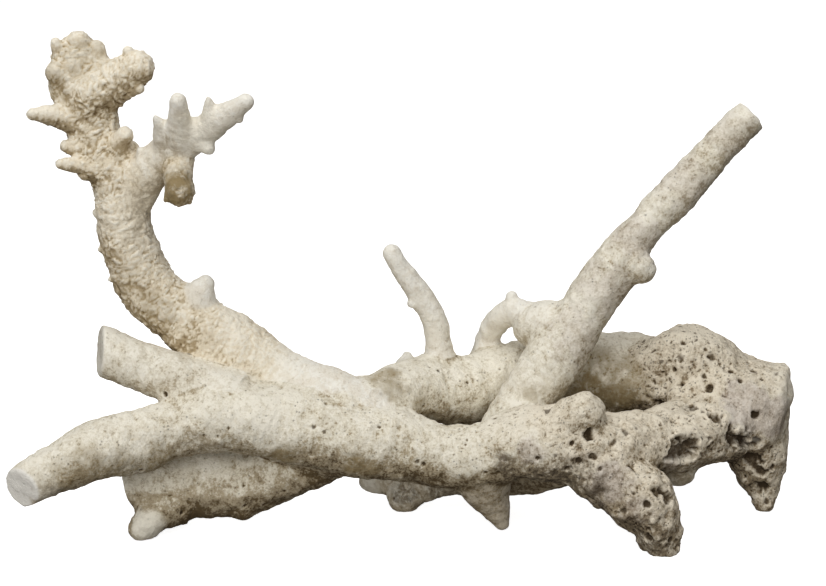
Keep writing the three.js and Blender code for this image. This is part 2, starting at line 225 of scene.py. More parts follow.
# How a limb's surface goes from root to tip: share, then how scaly, how spongy and how worn smooth it is.
CHARACTER: dict[str, Sequence[Sequence[float]]] = {
    "trunk": ((0, 0, 0.1, 0.2), (0.5, 0, 0.15, 0.1), (0.62, 0, 0.5, 0), (0.8, 0, 0.7, 0.2), (1, 0, 0.7, 0)),
    "underbar": ((0, 0, 0.1, 0.3), (1, 0, 0.1, 0.1)),
    "trunkKnob": ((0, 0, 0.7, 0), (1, 0, 0.5, 0)),
    "arm": ((0, 0, 0.15, 0.3), (1, 0, 0.15, 0.2)),
    "stub": ((0, 0, 0.1, 0.4), (1, 0, 0.05, 0.3)),
    "stem": ((0, 0, 0, 0.8), (0.22, 0.1, 0, 0.7), (0.38, 0.6, 0, 0.2), (0.55, 1, 0, 0), (1, 0.9, 0, 0)),
    "stemKnob": ((0, 0.2, 0, 0.7), (1, 0, 0, 0.9)),
    "head": ((0, 0.9, 0, 0), (1, 1, 0, 0)),
    "spur": ((0, 0.7, 0, 0.1), (0.3, 0.3, 0, 0.5), (0.45, 0.1, 0, 0.8), (1, 0.1, 0, 0.8)),
    "droop": ((0, 0.6, 0, 0), (1, 1, 0, 0)),
    "tooth": ((0, 0.4, 0, 0), (1, 0.1, 0, 0)),
    "bough": ((0, 0, 0.1, 0.2), (0.55, 0, 0.1, 0.1), (0.8, 0, 0.2, 0), (0.9, 0, 0.7, 0), (1, 0, 0.9, 0)),
    "belly": ((0, 0, 0.1, 0), (1, 0, 0.1, 0)),
    "boughNub": ((0, 0, 0, 0.4), (1, 0, 0, 0.6)),
    "finger": ((0, 0, 0, 0.8), (1, 0, 0, 0.8)),
    "straight": ((0, 0.05, 0, 0.3), (0.5, 0.1, 0, 0.2), (1, 0.05, 0, 0.3)),
    "lump": ((0, 0.1, 0, 0.4), (1, 0.1, 0, 0.4)),
    "arch": ((0, 0, 0, 0.7), (1, 0, 0, 0.8)),
    "frontFoot": ((0, 0, 0.7, 0), (0.5, 0, 0.8, 0), (1, 0, 1, 0)),
    "block": ((0, 0, 1, 0), (0.6, 0, 0.8, 0.1), (1, 0, 0.3, 0.4)),
    "crust": ((0, 0, 0.8, 0), (1, 0, 0.6, 0)),
    "rearFoot": ((0, 0, 0.8, 0), (1, 0, 0.8, 0)),
    "spike": ((0, 0, 0.1, 0.6), (1, 0, 0, 0.7)),
    "root": ((0, 0, 0.3, 0.2), (1, 0, 0.1, 0.4)),
}


class Mark(Enum):
    """The kinds of patch that lie on the surface, among them patches of painted shade."""

    STAIN = "stain"
    SOOT = "soot"
    SPONGE = "sponge"
    RUBBED = "rubbed"
    BLEACH = "bleach"


# Patches: x, y, z of the middle, the reach, and how strong it is there. Frame millimetres.
PATCHES: dict[Mark, Sequence[Sequence[float]]] = {
    Mark.STAIN: (
        (-12, -8, 74, 13, 0.9), (-22, -12, 72, 8, 0.5), (2, -6, 66, 9, 0.6), (-28, -42, 42, 8, 0.9),
        (-20, -42, 40, 7, 0.6), (-66, -38, 48, 8, 0.7), (100, 23, 79, 12, 0.6), (113, 19, 72, 14, 0.6),
        (108, 19, 61, 14, 0.8), (94, 19, 66, 13, 0.9), (121, 18, 61, 10, 0.5), (62, -12, 72, 8, 0.5),
        # the stain on the drooping knob, (-117, -13, 179), is partly a real stain and partly painted shade on
        # its underside
        (-117, -13, 179, 13, 1.0), (-140, -8, 226, 8, 0.5), (-186, -8, 213, 9, 0.4), (-115, -16, 216, 5, 0.4),
        (-165, 14, 240, 15, 0.35), (-178, 12, 230, 12, 0.35), (-131, -1, 111, 14, 0.4),
        (-144, 1, 130, 10, 0.25), (-159, -55, 48, 13, 0.4), (-145, -52, 46, 12, 0.4),
        (-171, -59, 44, 9, 0.4), (-128, -41, 46, 12, 0.4),
    ),
    # painted shade: dark patches placed low under the trunk, round the feet and in the reef block's hollows,
    # where shade falls
    Mark.SOOT: (
        (47, -42, 46, 7, 0.8), (78, -44, 40, 12, 0.8), (64, -44, 37, 12, 0.8), (50, -44, 36, 8, 0.5),
        (120, -54, 10, 12, 0.7), (119, -57, 25, 9, 0.5), (86, -46, 44, 9, 0.6), (92, -46, 34, 12, 0.7),
        (170, -7, 43, 11, 0.9), (139, -28, 46, 9, 0.8), (126, -52, 30, 7, 0.6), (20, 8, 14, 15, 0.7),
        (-4, 3, 11, 9, 0.8), (64, -46, 42, 8, 0.5), (142, -8, 66, 6, 0.5), (20, -10, 48, 16, 0.6),
    ),
    Mark.SPONGE: ((150, 2, 72, 20, 0.6), (140, 8, 74, 14, 0.5), (86, -44, 46, 10, 0.6)),
    Mark.RUBBED: (
        (176, -2, 62, 17, 1.0), (188, 4, 54, 14, 1.0), (132, -28, 40, 8, 0.6), (47, -40, 47, 6, 0.9),
        (100, -48, 36, 15, 0.8), (112, -52, 26, 12, 0.7), (60, -44, 52, 10, 0.6), (132, -14, 54, 10, 0.5),
        (84, 2, 98, 22, 0.45), (100, 10, 122, 22, 0.5), (117, 18, 146, 22, 0.5), (140, 26, 172, 24, 0.45),
        (164, 30, 196, 20, 0.4),
    ),
    Mark.BLEACH: (
        (-95, 0, 84, 12, 0.9), (-60, -4, 76, 14, 0.5), (178, 0, 43, 5, 0.7), (-135, -39, 9, 11, 1.0),
        # the patch at the arm's break, (-184, -61, 36), is painted light: it brightens a face that the lamps
        # leave dim
        (-22, 18, 9, 9, 0.7), (-184, -61, 36, 12, 0.4), (48, 30, 99, 16, 0.7), (12, 23, 98, 14, 0.6),
        (5, 22, 112, 10, 0.5), (-104, -6, 208, 18, 0.8), (-140, 8, 160, 20, 0.45), (-118, 8, 112, 12, 0.4),
    ),
}

# Placed holes: x, y, z on the surface, the hole's radius and its depth. Frame millimetres.
HOLES: Sequence[Sequence[float]] = (
    # the reef block's great cavity and the dark hollow behind the pale lip
    (137, -31, 47, 6.5, 5), (142, -27, 45, 6, 5.5), (134, -31, 44, 4, 4), (144, -26, 50, 3.5, 3),
    (163, -10, 49, 4.5, 3.5), (168, -9, 46, 5, 5), (173, -5, 44, 5, 5), (178, 0, 42, 3.5, 4),
    # craters of the rear foot
    (179, 4, 30, 4.8, 2.6), (184, 3, 25, 3.2, 2.4), (177, 7, 20, 1.3, 1.5), (184, 3, 15, 4.4, 2.6),
    (190, 3, 26, 1.4, 1.5), (189, 3, 6, 2.2, 1.5), (172, 6, 27, 1.4, 1.4),
    # holes scattered over the block
    (174, -7, 50, 1.6, 2), (178, 2, 56, 2.2, 3), (155, -12, 60, 2.2, 2.4), (157, -12, 58, 3.4, 3),
    (150, -11, 62, 1.3, 1.5), (144, -6, 64, 2, 2), (142, 11, 69, 2.4, 2.5), (143, 20, 87, 1.3, 1.5),
    (141, 20, 77, 1.6, 1.8), (153, 11, 73, 1.7, 1.8), (156, 6, 68, 2.1, 1.8), (171, 7, 71, 1.6, 1.5),
    (180, 15, 74, 1.6, 1.5), (183, 10, 71, 1.1, 1.2), (198, 19, 70, 1.6, 1.6), (153, 19, 84, 1.1, 1.2),
    (167, 11, 75, 1.6, 1.6),
    # the knob and the trunk beside it
    (88, -42, 59, 3.2, 3), (80, -45, 56, 1.3, 1.6), (76, -45, 56, 1, 1.2), (63, -46, 49, 1.3, 1.5),
    (90, -44, 50, 2, 1.8), (83, -46, 47, 1.6, 1.6), (78, -45, 44, 1.6, 1.6),
    # the front foot, with one wide crater
    (94, -48, 44, 1.3, 1.5), (118, -50, 38, 1, 1.2), (121, -53, 34, 3.2, 2.5), (126, -53, 30, 4.2, 3.4),
    (117, -57, 28, 2.2, 2), (110, -54, 33, 1.4, 1.5), (112, -56, 19, 1, 1), (130, -57, 9, 1.3, 1.2),
    (119, -57, 12, 2.8, 2), (112, -56, 12, 2.4, 2),
    # pinholes of the trunk, the underbar and the bough
    (-43, -29, 72, 1.2, 1.6), (-16, -36, 62, 1, 1.2), (6, -9, 64, 1, 1.2), (42, -27, 63, 1.2, 1.5),
    (39, -31, 61, 0.9, 1), (43, -43, 40, 0.9, 1), (37, -43, 40, 0.9, 1), (6, -40, 43, 0.9, 1),
    (-82, -19, 80, 0.9, 1), (-136, -43, 42, 1.1, 1.3), (-140, -44, 40, 1.1, 1.3), (-119, -28, 14, 1.1, 1.3),
    (-86, -27, 17, 0.9, 1), (-86, -28, 27, 0.8, 1), (-65, -27, 25, 0.8, 1), (-76, -26, 17, 0.8, 1),
    (-104, -41, 59, 0.8, 1), (-97, -41, 58, 0.8, 1), (-125, -24, 75, 1, 1.2), (-92, -41, 63, 1, 1),
    (-44, -39, 60, 1.0, 0.5), (-49, -39, 63, 1.0, 0.6), (-9, 4, 8, 0.9, 1), (27, -38, 53, 0.9, 1),
    (28, -36, 55, 0.9, 1), (5, -37, 54, 0.8, 0.8), (3, -40, 45, 1.1, 0.8), (9, 5, 81, 0.9, 1),
    (29, 5, 72, 0.9, 1), (46, 16, 76, 0.9, 1), (14, 4, 79, 0.8, 1),
)


def ramp(value: Array, low: float, high: float) -> Array:
    """A smooth step: 0 up to low, 1 from high, and three x squared less two x cubed between them."""
    x = np.clip((value - low) / (high - low), 0, 1)
    return x * x * (3 - 2 * x)


def scatter(cells: Array, salt: int) -> Array:
    """A repeatable number from 0 to 1 for each whole-numbered cell of space.

    The three indices and the salt are multiplied by odd numbers, and shifted and multiplied again.

    Args:
        cells: The cells' whole indices, one row of three for each.
        salt: Another number for another pattern.

    Returns:
        One number for each row.
    """
    whole = cells.astype(np.int64).astype(np.uint32)
    mixed = whole[:, 0] * np.uint32(73856093) ^ whole[:, 1] * np.uint32(19349663)
    mixed ^= whole[:, 2] * np.uint32(83492791) ^ np.uint32(salt * 2654435761 % 2**32)
    for shift, factor in ((16, 2146121005), (15, 2221713035)):
        mixed ^= mixed >> np.uint32(shift)
        mixed *= np.uint32(factor)
    mixed ^= mixed >> np.uint32(16)
    return (mixed >> np.uint32(8)).astype(np.float32) / 2.0**24


def drift(places: Array, pitch: float, salt: int, octaves: int = 1) -> Array:
    """Slow random swelling, from -1 to 1: a random number at each corner of a grid, blended smoothly between.

    The blend is the product over the axes of three x squared less two x cubed, or of what that leaves of 1.

    Args:
        places: Points, one row of three for each.
        pitch: The grid's spacing in the same unit.
        salt: Another number for another pattern.
        octaves: How many layers are added up, each half as wide and half as high as the last.

    Returns:
        One height for each point.
    """
    total, height, span = np.zeros(len(places)), 1.0, 0.0
    for layer in range(octaves):
        spots = places / (pitch * 0.5**layer) + 17.3 * layer
        base = np.floor(spots)
        blend = (spots - base) ** 2 * (3 - 2 * (spots - base))
        for corner in itertools.product((0.0, 1.0), repeat=3):
            share = np.prod(np.where(np.array(corner) > 0, blend, 1 - blend), axis=1)
            total += height * share * (2 * scatter(base + corner, salt + 31 * layer) - 1)
        span += height
        height *= 0.5
    return total / span


@dataclass
class Cells:
    """The nearest random seed of each point.

    Attributes:
        near: Its distance, in pitches.
        towards: The way to it, as rows of three, in pitches.
        mark: Its own random number, from 0 to 1.
    """

    near: Array
    towards: Array
    mark: Array


def cells_of(places: Array, pitch: float, salt: int) -> Cells:
    """Scattered seeds, one to each cell of a grid, and the one that lies nearest to each point.

    A seed keeps to the middle of its cell. The point's own cell and the 26 round it are looked through.

    Args:
        places: Points, one row of three for each.
        pitch: The grid's spacing in the same unit.
        salt: Another number for another pattern.

    Returns:
        The nearest seeds.
    """
    spots = (places / pitch).astype(np.float32)
    base = np.floor(spots)
    near = np.full(len(spots), np.inf, np.float32)
    towards = np.zeros_like(spots)
    mark = np.zeros(len(spots), np.float32)
    for step in itertools.product((-1.0, 0.0, 1.0), repeat=3):
        cell = base + np.array(step, np.float32)
        jitter = np.stack([scatter(cell, salt + axis) for axis in range(3)], axis=1)
        away = cell + 0.15 + 0.7 * jitter - spots
        distance = np.sqrt((away * away).sum(axis=1))
        closer = distance < near
        mark = np.where(closer, scatter(cell, salt + 7), mark)
        towards = np.where(closer[:, None], away, towards)
        near = np.where(closer, distance, near)
    return Cells(near, towards, mark)


def rows_of(name: str, table: Mapping[str, Sequence]) -> Sequence:
    """A limb's rows of a table. A side knob that isn't in it has the last row of the limb it is named after.

    Args:
        name: The limb's name.
        table: The table.

    Returns:
        The rows.
    """
    if name in table:
        return table[name]
    return table[max((key for key in table if name.startswith(key)), key=len)][-1:]


def gathered(count: int, pairs: Array) -> Array:
    """Which connected group each of count things is in, when the pairs are connected.

    Every thing starts as its own group. Both ends of a pair take the lower number, and each thing then
    takes the number of the thing it points at, until nothing changes.

    Args:
        count: How many things there are.
        pairs: Rows of two indices.

    Returns:
        The lowest index of each thing's group.
    """
    group = np.arange(count)
    while True:
        low = np.minimum(group[pairs[:, 0]], group[pairs[:, 1]])
        new = group.copy()
        np.minimum.at(new, pairs[:, 0], low)
        np.minimum.at(new, pairs[:, 1], low)
        np.minimum.at(new, group[pairs[:, 0]], low)
        np.minimum.at(new, group[pairs[:, 1]], low)
        new = new[new]
        if np.array_equal(new, group):
            return group
        group = new


def break_plane(name: str) -> tuple[Array, Array]:
    """A point of a limb's break, and the unit direction in which nothing of the limb is left."""
    plane = np.array(BREAKS[name], float)
    return plane[:3], plane[3:] / np.linalg.norm(plane[3:])


@dataclass
class Trace:
    """A limb's centreline, ring by ring.

    Attributes:
        centre: The rings' middles.
        radius: Their radii.
        share: How far along the limb each is, from 0 to 1.
        along: The same as a length, in millimetres.
        tangent: The limb's own direction there.
        across: An axis at right angles to it.
        upward: The third axis.
    """

    centre: Array
    radius: Array
    share: Array
    along: Array
    tangent: Array
    across: Array
    upward: Array


@dataclass
class Limb:
    """One limb: a round bar along a smooth centreline.

    Attributes:
        name: The limb's name in the table.
        points: Rows of x, y, z and radius, from root to tip.
        side_length: How wide one face of the bar is, in millimetres.
    """

    name: str
    points: Array
    side_length: float = 1.6
    DOME: ClassVar[Sequence[float]] = (15, 30, 45, 60, 75)  # the angles of the rings that round the tip off
    FEWEST_SIDES: ClassVar[int] = 10
    STEPS: ClassVar[int] = 400  # how finely the length of the curve is measured
    WAVE_SPREAD: ClassVar[float] = 9.0  # millimetres of limb to a radian of the slow wave
    WAVE_HEIGHT: ClassVar[float] = 0.035  # how much of the radius the wave adds or takes

    def spline(self, t: Array) -> Array:
        """The centripetal curve through the points.

        Between two points it is the cubic whose end slopes come from the chords on both sides, each
        chord weighted by the square root of its length.

        Args:
            t: Places along the curve from 0 to 1, the points evenly apart.

        Returns:
            Rows of x, y, z and radius.
        """
        rows = self.points
        rows = np.vstack([2 * rows[0] - rows[1], rows, 2 * rows[-1] - rows[-2]])
        place = np.clip(t, 0, 1) * (len(rows) - 3)
        i = np.minimum(place.astype(int), len(rows) - 4)
        w = (place - i)[:, None]
        a, b, c, d = (rows[i + step] for step in range(4))
        chords = ((b - a)[:, :3], (c - b)[:, :3], (d - c)[:, :3])
        before, here, after = (np.maximum(np.sqrt(np.linalg.norm(v, axis=1))[:, None], 1e-3) for v in chords)
        start = here * ((b - a) / before - (c - a) / (before + here) + (c - b) / here)
        end = here * ((c - b) / here - (d - b) / (here + after) + (d - c) / after)
        return b + start * w + (3 * (c - b) - 2 * start - end) * w**2 + (2 * (b - c) + start + end) * w**3

    def trace(self, pitch: float) -> Trace:
        """The centreline at even steps, with axes that turn as little as they can from ring to ring.

        Args:
            pitch: The step in millimetres.

        Returns:
            The rings.
        """
        t = np.linspace(0, 1, self.STEPS + 1)
        fine = self.spline(t)
        length = np.concatenate([[0], np.cumsum(np.linalg.norm(np.diff(fine[:, :3], axis=0), axis=1))])
        count = max(3, int(length[-1] / pitch) + 1)
        along = np.linspace(0, length[-1], count)
        rows = self.spline(np.interp(along, length, t))
        tangent = np.gradient(rows[:, :3], axis=0)
        tangent /= np.linalg.norm(tangent, axis=1)[:, None]
        across = np.empty_like(tangent)
        across[0] = np.cross(tangent[0], (0.31, 0.92, 0.24))
        for ring in range(1, count):
            across[ring] = across[ring - 1] - tangent[ring] * (across[ring - 1] @ tangent[ring])
        across /= np.linalg.norm(across, axis=1)[:, None]
        upward = np.cross(tangent, across)
        return Trace(rows[:, :3], rows[:, 3], along / length[-1], along, tangent, across, upward)

    def sweep(self) -> tuple[Array, Array]:
        """The limb's closed surface on a grid of rings and sides, with a dome on its tip.

        A point is the ring's centre, plus the radius times the cosine of its angle along one axis, plus
        the sine along the other. The first and last rings have no radius. Nothing goes below the table.

        Returns:
            The places, and the faces as rows of four indices.
        """
        bar = self.trace(self.side_length)
        arc = np.radians(self.DOME)[:, None]
        tip = bar.centre[-1] + bar.tangent[-1] * bar.radius[-1] * np.sin(arc)
        end = bar.centre[-1] + bar.tangent[-1] * bar.radius[-1]
        centre = np.vstack([bar.centre[:1], bar.centre, tip, end])
        radius = np.concatenate([[0], bar.radius, bar.radius[-1] * np.cos(arc[:, 0]), [0]])
        ring = np.clip(np.arange(len(centre)) - 1, 0, len(bar.radius) - 1)
        sides = max(self.FEWEST_SIDES, int(math.tau * bar.radius.max() / self.side_length))
        angle = np.linspace(0, math.tau, sides, endpoint=False)
        spoke = np.cos(angle)[None, :, None] * bar.across[ring][:, None, :]
        spoke = spoke + np.sin(angle)[None, :, None] * bar.upward[ring][:, None, :]
        places = (centre[:, None, :] + spoke * radius[:, None, None]).reshape(-1, 3)
        places = self.broken(self.wavering(places, np.repeat(centre, sides, axis=0)))
        places[:, 2] = np.maximum(places[:, 2], 0)
        grid = np.arange(len(centre) * sides).reshape(-1, sides)
        turned = np.roll(grid, -1, axis=1)
        faces = np.stack([grid[:-1], turned[:-1], turned[1:], grid[1:]], axis=-1).reshape(-1, 4)
        return places, faces

    def wavering(self, places: Array, middle: Array) -> Array:
        """The bar with slow waves in its thickness, so that no limb is a plain pipe.

        The wave is the sine of x times the sine of y, plus the sine of z and a little x.

        Args:
            places: The bar's surface.
            middle: The centre of each place's ring.

        Returns:
            The places, moved in or out along their spokes.
        """
        x, y, z = places.T
        wave = np.sin(x / self.WAVE_SPREAD + 1) * np.sin(y / self.WAVE_SPREAD)
        wave += np.sin(z / self.WAVE_SPREAD + x / 17)
        return middle + (places - middle) * (1 + self.WAVE_HEIGHT * wave)[:, None]

    def broken(self, places: Array) -> Array:
        """Lays whatever is beyond the limb's break on to its plane, and rounds a weathered break off.

        Rounding starts a set depth before the plane: of each step beyond it, less and less is kept, as in
        the depth times one less e to the power of minus the step over the depth.

        Args:
            places: The limb's surface.

        Returns:
            The surface with its break.
        """
        if self.name not in BREAKS:
            return places
        spot, out = break_plane(self.name)
        depth = (places - spot) @ out
        if self.name in FRESH_BREAKS:
            return places - np.maximum(depth, 0)[:, None] * out
        inside = np.maximum(depth + WEATHERED_DEPTH, 0)
        kept = WEATHERED_DEPTH * (1 - np.exp(-inside / WEATHERED_DEPTH))
        return places - (inside - kept)[:, None] * out


@dataclass
class Skin:
    """A closed surface as whole arrays.

    Attributes:
        places: The vertices, in millimetres.
        faces: Rows of four vertex indices.
        marks: What each vertex carries for the finishes, by name.
    """

    places: Array
    faces: Array
    marks: dict[str, Array] = field(default_factory=dict)

    def __post_init__(self) -> None:
        """Notes each face's sides as pairs of vertices, for blurring."""
        self.tail = self.faces.reshape(-1)
        self.head = np.roll(self.faces, -1, axis=1).reshape(-1)
        self.valence = np.maximum(np.bincount(self.tail, minlength=len(self.places)), 1)

    def blurred(self, values: Array, times: int) -> Array:
        """Each vertex's value, replaced by the mean of itself and its neighbours' mean, several times.

        Args:
            values: One number or one row for each vertex.
            times: How often.

        Returns:
            The blurred values.
        """
        flat = values.reshape(len(values), -1).astype(float)
        for _ in range(times):
            columns = [np.bincount(self.tail, c[self.head], len(c)) / self.valence for c in flat.T]
            flat = 0.5 * flat + 0.5 * np.stack(columns, axis=1)
        return flat.reshape(values.shape)

    def normals(self) -> Array:
        """Outward unit normals: the cross products of the faces' diagonals, summed at the vertices.

        Returns:
            One row of three for each vertex.
        """
        a, b, c, d = (self.places[self.faces[:, i]] for i in range(4))
        flat = np.cross(c - a, d - b)
        total = np.zeros_like(self.places)
        for corner in range(4):
            for axis in range(3):
                total[:, axis] += np.bincount(self.faces[:, corner], flat[:, axis], len(self.places))
        return total / np.maximum(np.linalg.norm(total, axis=1), 1e-9)[:, None]


def mesh_of(name: str, places: Array, faces: Array, more: Array | None = None) -> bpy.types.Mesh:
    """A Blender mesh from whole arrays.

    Args:
        name: The mesh's name.
        places: The vertices.
        faces: Rows of four indices.
        more: Rows of three indices, if there are triangles too.

    Returns:
        The mesh.
    """
    corners = faces.reshape(-1)
    starts = np.arange(0, len(corners), 4)
    if more is not None and len(more):
        starts = np.concatenate([starts, len(corners) + np.arange(0, more.size, 3)])
        corners = np.concatenate([corners, more.reshape(-1)])
    mesh = bpy.data.meshes.new(name)
    mesh.vertices.add(len(places))
    mesh.vertices.foreach_set("co", places.astype(np.float32).reshape(-1))
    mesh.loops.add(len(corners))
    mesh.loops.foreach_set("vertex_index", corners.astype(np.int32))
    mesh.polygons.add(len(starts))
    mesh.polygons.foreach_set("loop_start", starts.astype(np.int32))
    mesh.update(calc_edges=True)
    mesh.validate()
    return mesh


def outermost(places: Array, faces: Array) -> Skin:
    """The largest connected part of a surface, without the shells left inside it.

    Args:
        places: The vertices.
        faces: Rows of four indices.

    Returns:
        The skin.
    """
    sides = np.stack([faces.reshape(-1), np.roll(faces, -1, axis=1).reshape(-1)], axis=1)
    group = gathered(len(places), sides)
    kept = group == np.bincount(group).argmax()
    renumbered = np.cumsum(kept) - 1
    return Skin(places[kept], renumbered[faces[kept[faces[:, 0]]]])


@dataclass
class Grower:
    """Grows the skin: fuses the limbs, fills the crotches and works the reliefs into it.

    Attributes:
        voxel: How fine the fused surface is, in millimetres.
        axis_pitch: The step of the centreline points that tell a vertex which limb it lies on.
        crotch_blurs: How often the finest surface is blurred to find its crotches.
        crotch_fill: How much of a crotch's depth is filled each time.
        limb_gap: How far apart the limbs' own patterns start, in millimetres.
        swells: Pitch, height and salt of the slow lumps, from the broadest to the finest.
        scale_sizes: Pitch, height and salt of each size of scale on the antler.
        sponge_sizes: Pitch, depth, share of the cells and salt of each size of sponge hole.
        least_hole: The smallest radius that the skin's vertices can show.
        break_share: The share of a limb past which its break can lie.
        rim_width: How far on both sides of a break's plane its edge is softened.
        nook_depth: How deep a fine hollow is that is marked in full.
        crease_depth: And how deep a wide one is.
    """

    voxel: float = FINE_VOXEL
    axis_pitch: float = 1.6
    crotch_blurs: int = 34
    crotch_fill: float = 1.5
    limb_gap: float = 40.0
    swells: Sequence[tuple[float, float, int]] = ((26, 1.3, 11), (11, 1.1, 12), (5.5, 0.8, 13))
    scale_sizes: Sequence[tuple[float, float, int]] = ((5.2, 0.8, 71), (3.3, 0.9, 81), (2.2, 0.7, 86))
    sponge_sizes: Sequence[tuple[float, float, float, int]] = (
        (6.5, 1.8, 0.06, 91), (3.6, 1.1, 0.18, 95), (2.1, 0.7, 0.34, 97),
    )
    least_hole: float = 0.85
    break_share: float = 0.6
    rim_width: float = 4.0
    nook_depth: float = 0.25
    crease_depth: float = 2.5
    BATCH: ClassVar[int] = 20000  # how many vertices are matched with the centrelines at a time

    def limbs(self) -> list[Limb]:
        """All limbs, and the teeth as limbs of their own.

        Returns:
            The limbs.
        """
        made = [Limb(name, np.array(rows, float)) for name, rows in LIMBS.items()]
        for row in TEETH:
            root, tip = (*row[:3], row[6]), (*row[3:6], row[7])
            made.append(Limb("tooth", np.array([root, tip], float), side_length=1.0))
        return made

    def fused(self, limbs: Iterable[Limb]) -> Skin:
        """One skin round all the limbs, by filling space with small cubes and drawing a surface round them.

        Args:
            limbs: The limbs, which overlap at the forks.

        Returns:
            The skin, in the frame's millimetres.
        """
        places, faces, count = [], [], 0
        for limb in limbs:
            spots, sides = limb.sweep()
            places.append(spots + GROWN_SHIFT)
            faces.append(sides + count)
            count += len(spots)
        rough = bpy.data.objects.new("rough", mesh_of("rough", np.vstack(places), np.vstack(faces)))
        bpy.context.scene.collection.objects.link(rough)
        remesh = rough.modifiers.new("fuse", "REMESH")
        remesh.mode = "VOXEL"
        remesh.voxel_size = self.voxel
        remesh.adaptivity = 0
        done = rough.evaluated_get(bpy.context.evaluated_depsgraph_get()).to_mesh()
        spots = np.empty(len(done.vertices) * 3, np.float32)
        done.vertices.foreach_get("co", spots)
        corners = np.empty(len(done.loops), np.int32)
        done.loops.foreach_get("vertex_index", corners)
        if len(corners) != 4 * len(done.polygons):
            raise ValueError("the fused surface has faces that aren't four-cornered")
        skin = outermost(spots.reshape(-1, 3).astype(float), corners.reshape(-1, 4).astype(np.int64))
        mesh = rough.data
        bpy.data.objects.remove(rough)
        bpy.data.meshes.remove(mesh)
        return skin

    def settle(self, skin: Skin) -> None:
        """Rounds the cubes' steps away, and fills the creases between limbs.

        A crease is where the widely blurred surface lies outside the surface itself: there, and only
        there, the vertex moves out towards it. A blur's width goes with the square root of how often it
        is done, so a coarser surface needs fewer.

        Args:
            skin: The fused skin, which is changed.
        """
        blurs = int(self.crotch_blurs * (FINE_VOXEL / self.voxel) ** 2)
        skin.places = skin.blurred(skin.places, 3)
        for _ in range(2):
            normals = skin.normals()
            wide = skin.blurred(skin.places, blurs)
            fill = np.maximum(((wide - skin.places) * normals).sum(axis=1), 0)
            skin.places += normals * (self.crotch_fill * fill)[:, None]
        skin.places = skin.blurred(skin.places, 2)

    def read(self, skin: Skin, limbs: Sequence[Limb]) -> None:
        """Finds each vertex's limb, and its place along and around it, from the nearest centreline point.

        Nearest means the least distance to the centreline less the radius there. The results are marks:
        limb, share, radius, the local coordinates along and across the limb, and the limb's character.

        Args:
            skin: The skin, which is given the marks.
            limbs: The limbs it came from.
        """
        traces = [limb.trace(self.axis_pitch) for limb in limbs]
        owner = np.concatenate([np.full(len(t.radius), i) for i, t in enumerate(traces)])
        joined = {
            key: np.concatenate([getattr(t, key) for t in traces])
            for key in ("centre", "radius", "share", "along", "tangent", "across", "upward")
        }
        joined["centre"] = joined["centre"] + GROWN_SHIFT
        nearest = np.empty(len(skin.places), int)
        squares = (joined["centre"] ** 2).sum(axis=1)
        for start in range(0, len(skin.places), self.BATCH):
            some = skin.places[start : start + self.BATCH]
            apart = (some**2).sum(axis=1)[:, None] + squares - 2 * some @ joined["centre"].T
            apart = np.sqrt(np.maximum(apart, 0)) - joined["radius"]
            nearest[start : start + self.BATCH] = apart.argmin(axis=1)
        offset = skin.places - joined["centre"][nearest]
        marks = skin.marks
        marks["limb"] = owner[nearest]
        marks["share"] = joined["share"][nearest]
        marks["radius"] = skin.blurred(joined["radius"][nearest], 6)
        ahead = joined["along"][nearest] + (offset * joined["tangent"][nearest]).sum(axis=1)
        sideways = (offset * joined["across"][nearest]).sum(axis=1)
        upwards = (offset * joined["upward"][nearest]).sum(axis=1)
        marks["local"] = np.stack([ahead, sideways, upwards], axis=1) + self.limb_gap * marks["limb"][:, None]
        kinds = np.zeros((len(skin.places), 3))
        for i, limb in enumerate(limbs):
            here = marks["limb"] == i
            table = np.array(rows_of(limb.name, CHARACTER), float)
            for kind in range(3):
                kinds[here, kind] = np.interp(marks["share"][here], table[:, 0], table[:, kind + 1])
        kinds = skin.blurred(kinds, 20)
        marks["scaly"], marks["spongy"], marks["smooth"] = kinds.T

    def patches(self, skin: Skin) -> None:
        """Lays the patches, strongest at the middle and gone at about the reach, with a wavering edge.

        Args:
            skin: The skin, which is given the patches as marks.
        """
        waver = 0.35 * drift(skin.places, 5, 501, 2)
        for kind, rows in PATCHES.items():
            total = np.zeros(len(skin.places))
            for x, y, z, reach, strength in rows:
                away = np.linalg.norm(skin.places - (x, y, z), axis=1) / reach + waver
                total = np.maximum(total, strength * (1 - ramp(away, 0.45, 1.1)))
            skin.marks[kind.value] = total
        marks = skin.marks
        rubbed_away = 0.9 * marks[Mark.RUBBED.value]
        marks["spongy"] = np.clip(marks["spongy"] + marks[Mark.SPONGE.value] - rubbed_away, 0, 1)
        marks["scaly"] = np.clip(marks["scaly"] - rubbed_away, 0, 1)

    def swell(self, skin: Skin) -> None:
        """Slow lumps and hollows on every limb, lower on the thin ones and on the worn ones.

        The height is three layers of drift, and all but the broadest count for more on a rough limb.

        Args:
            skin: The skin, whose vertices move along their normals.
        """
        marks = skin.marks
        body = np.clip(marks["radius"] / 14, 0.25, 1.15)
        rough = 0.45 + marks["spongy"] + 0.3 * marks["scaly"] - 0.15 * marks["smooth"]
        height = np.zeros(len(skin.places))
        for layer, (pitch, lift, salt) in enumerate(self.swells):
            height += lift * drift(skin.places, pitch, salt) * (rough if layer else 1)
        skin.places += skin.normals() * (height * body)[:, None]

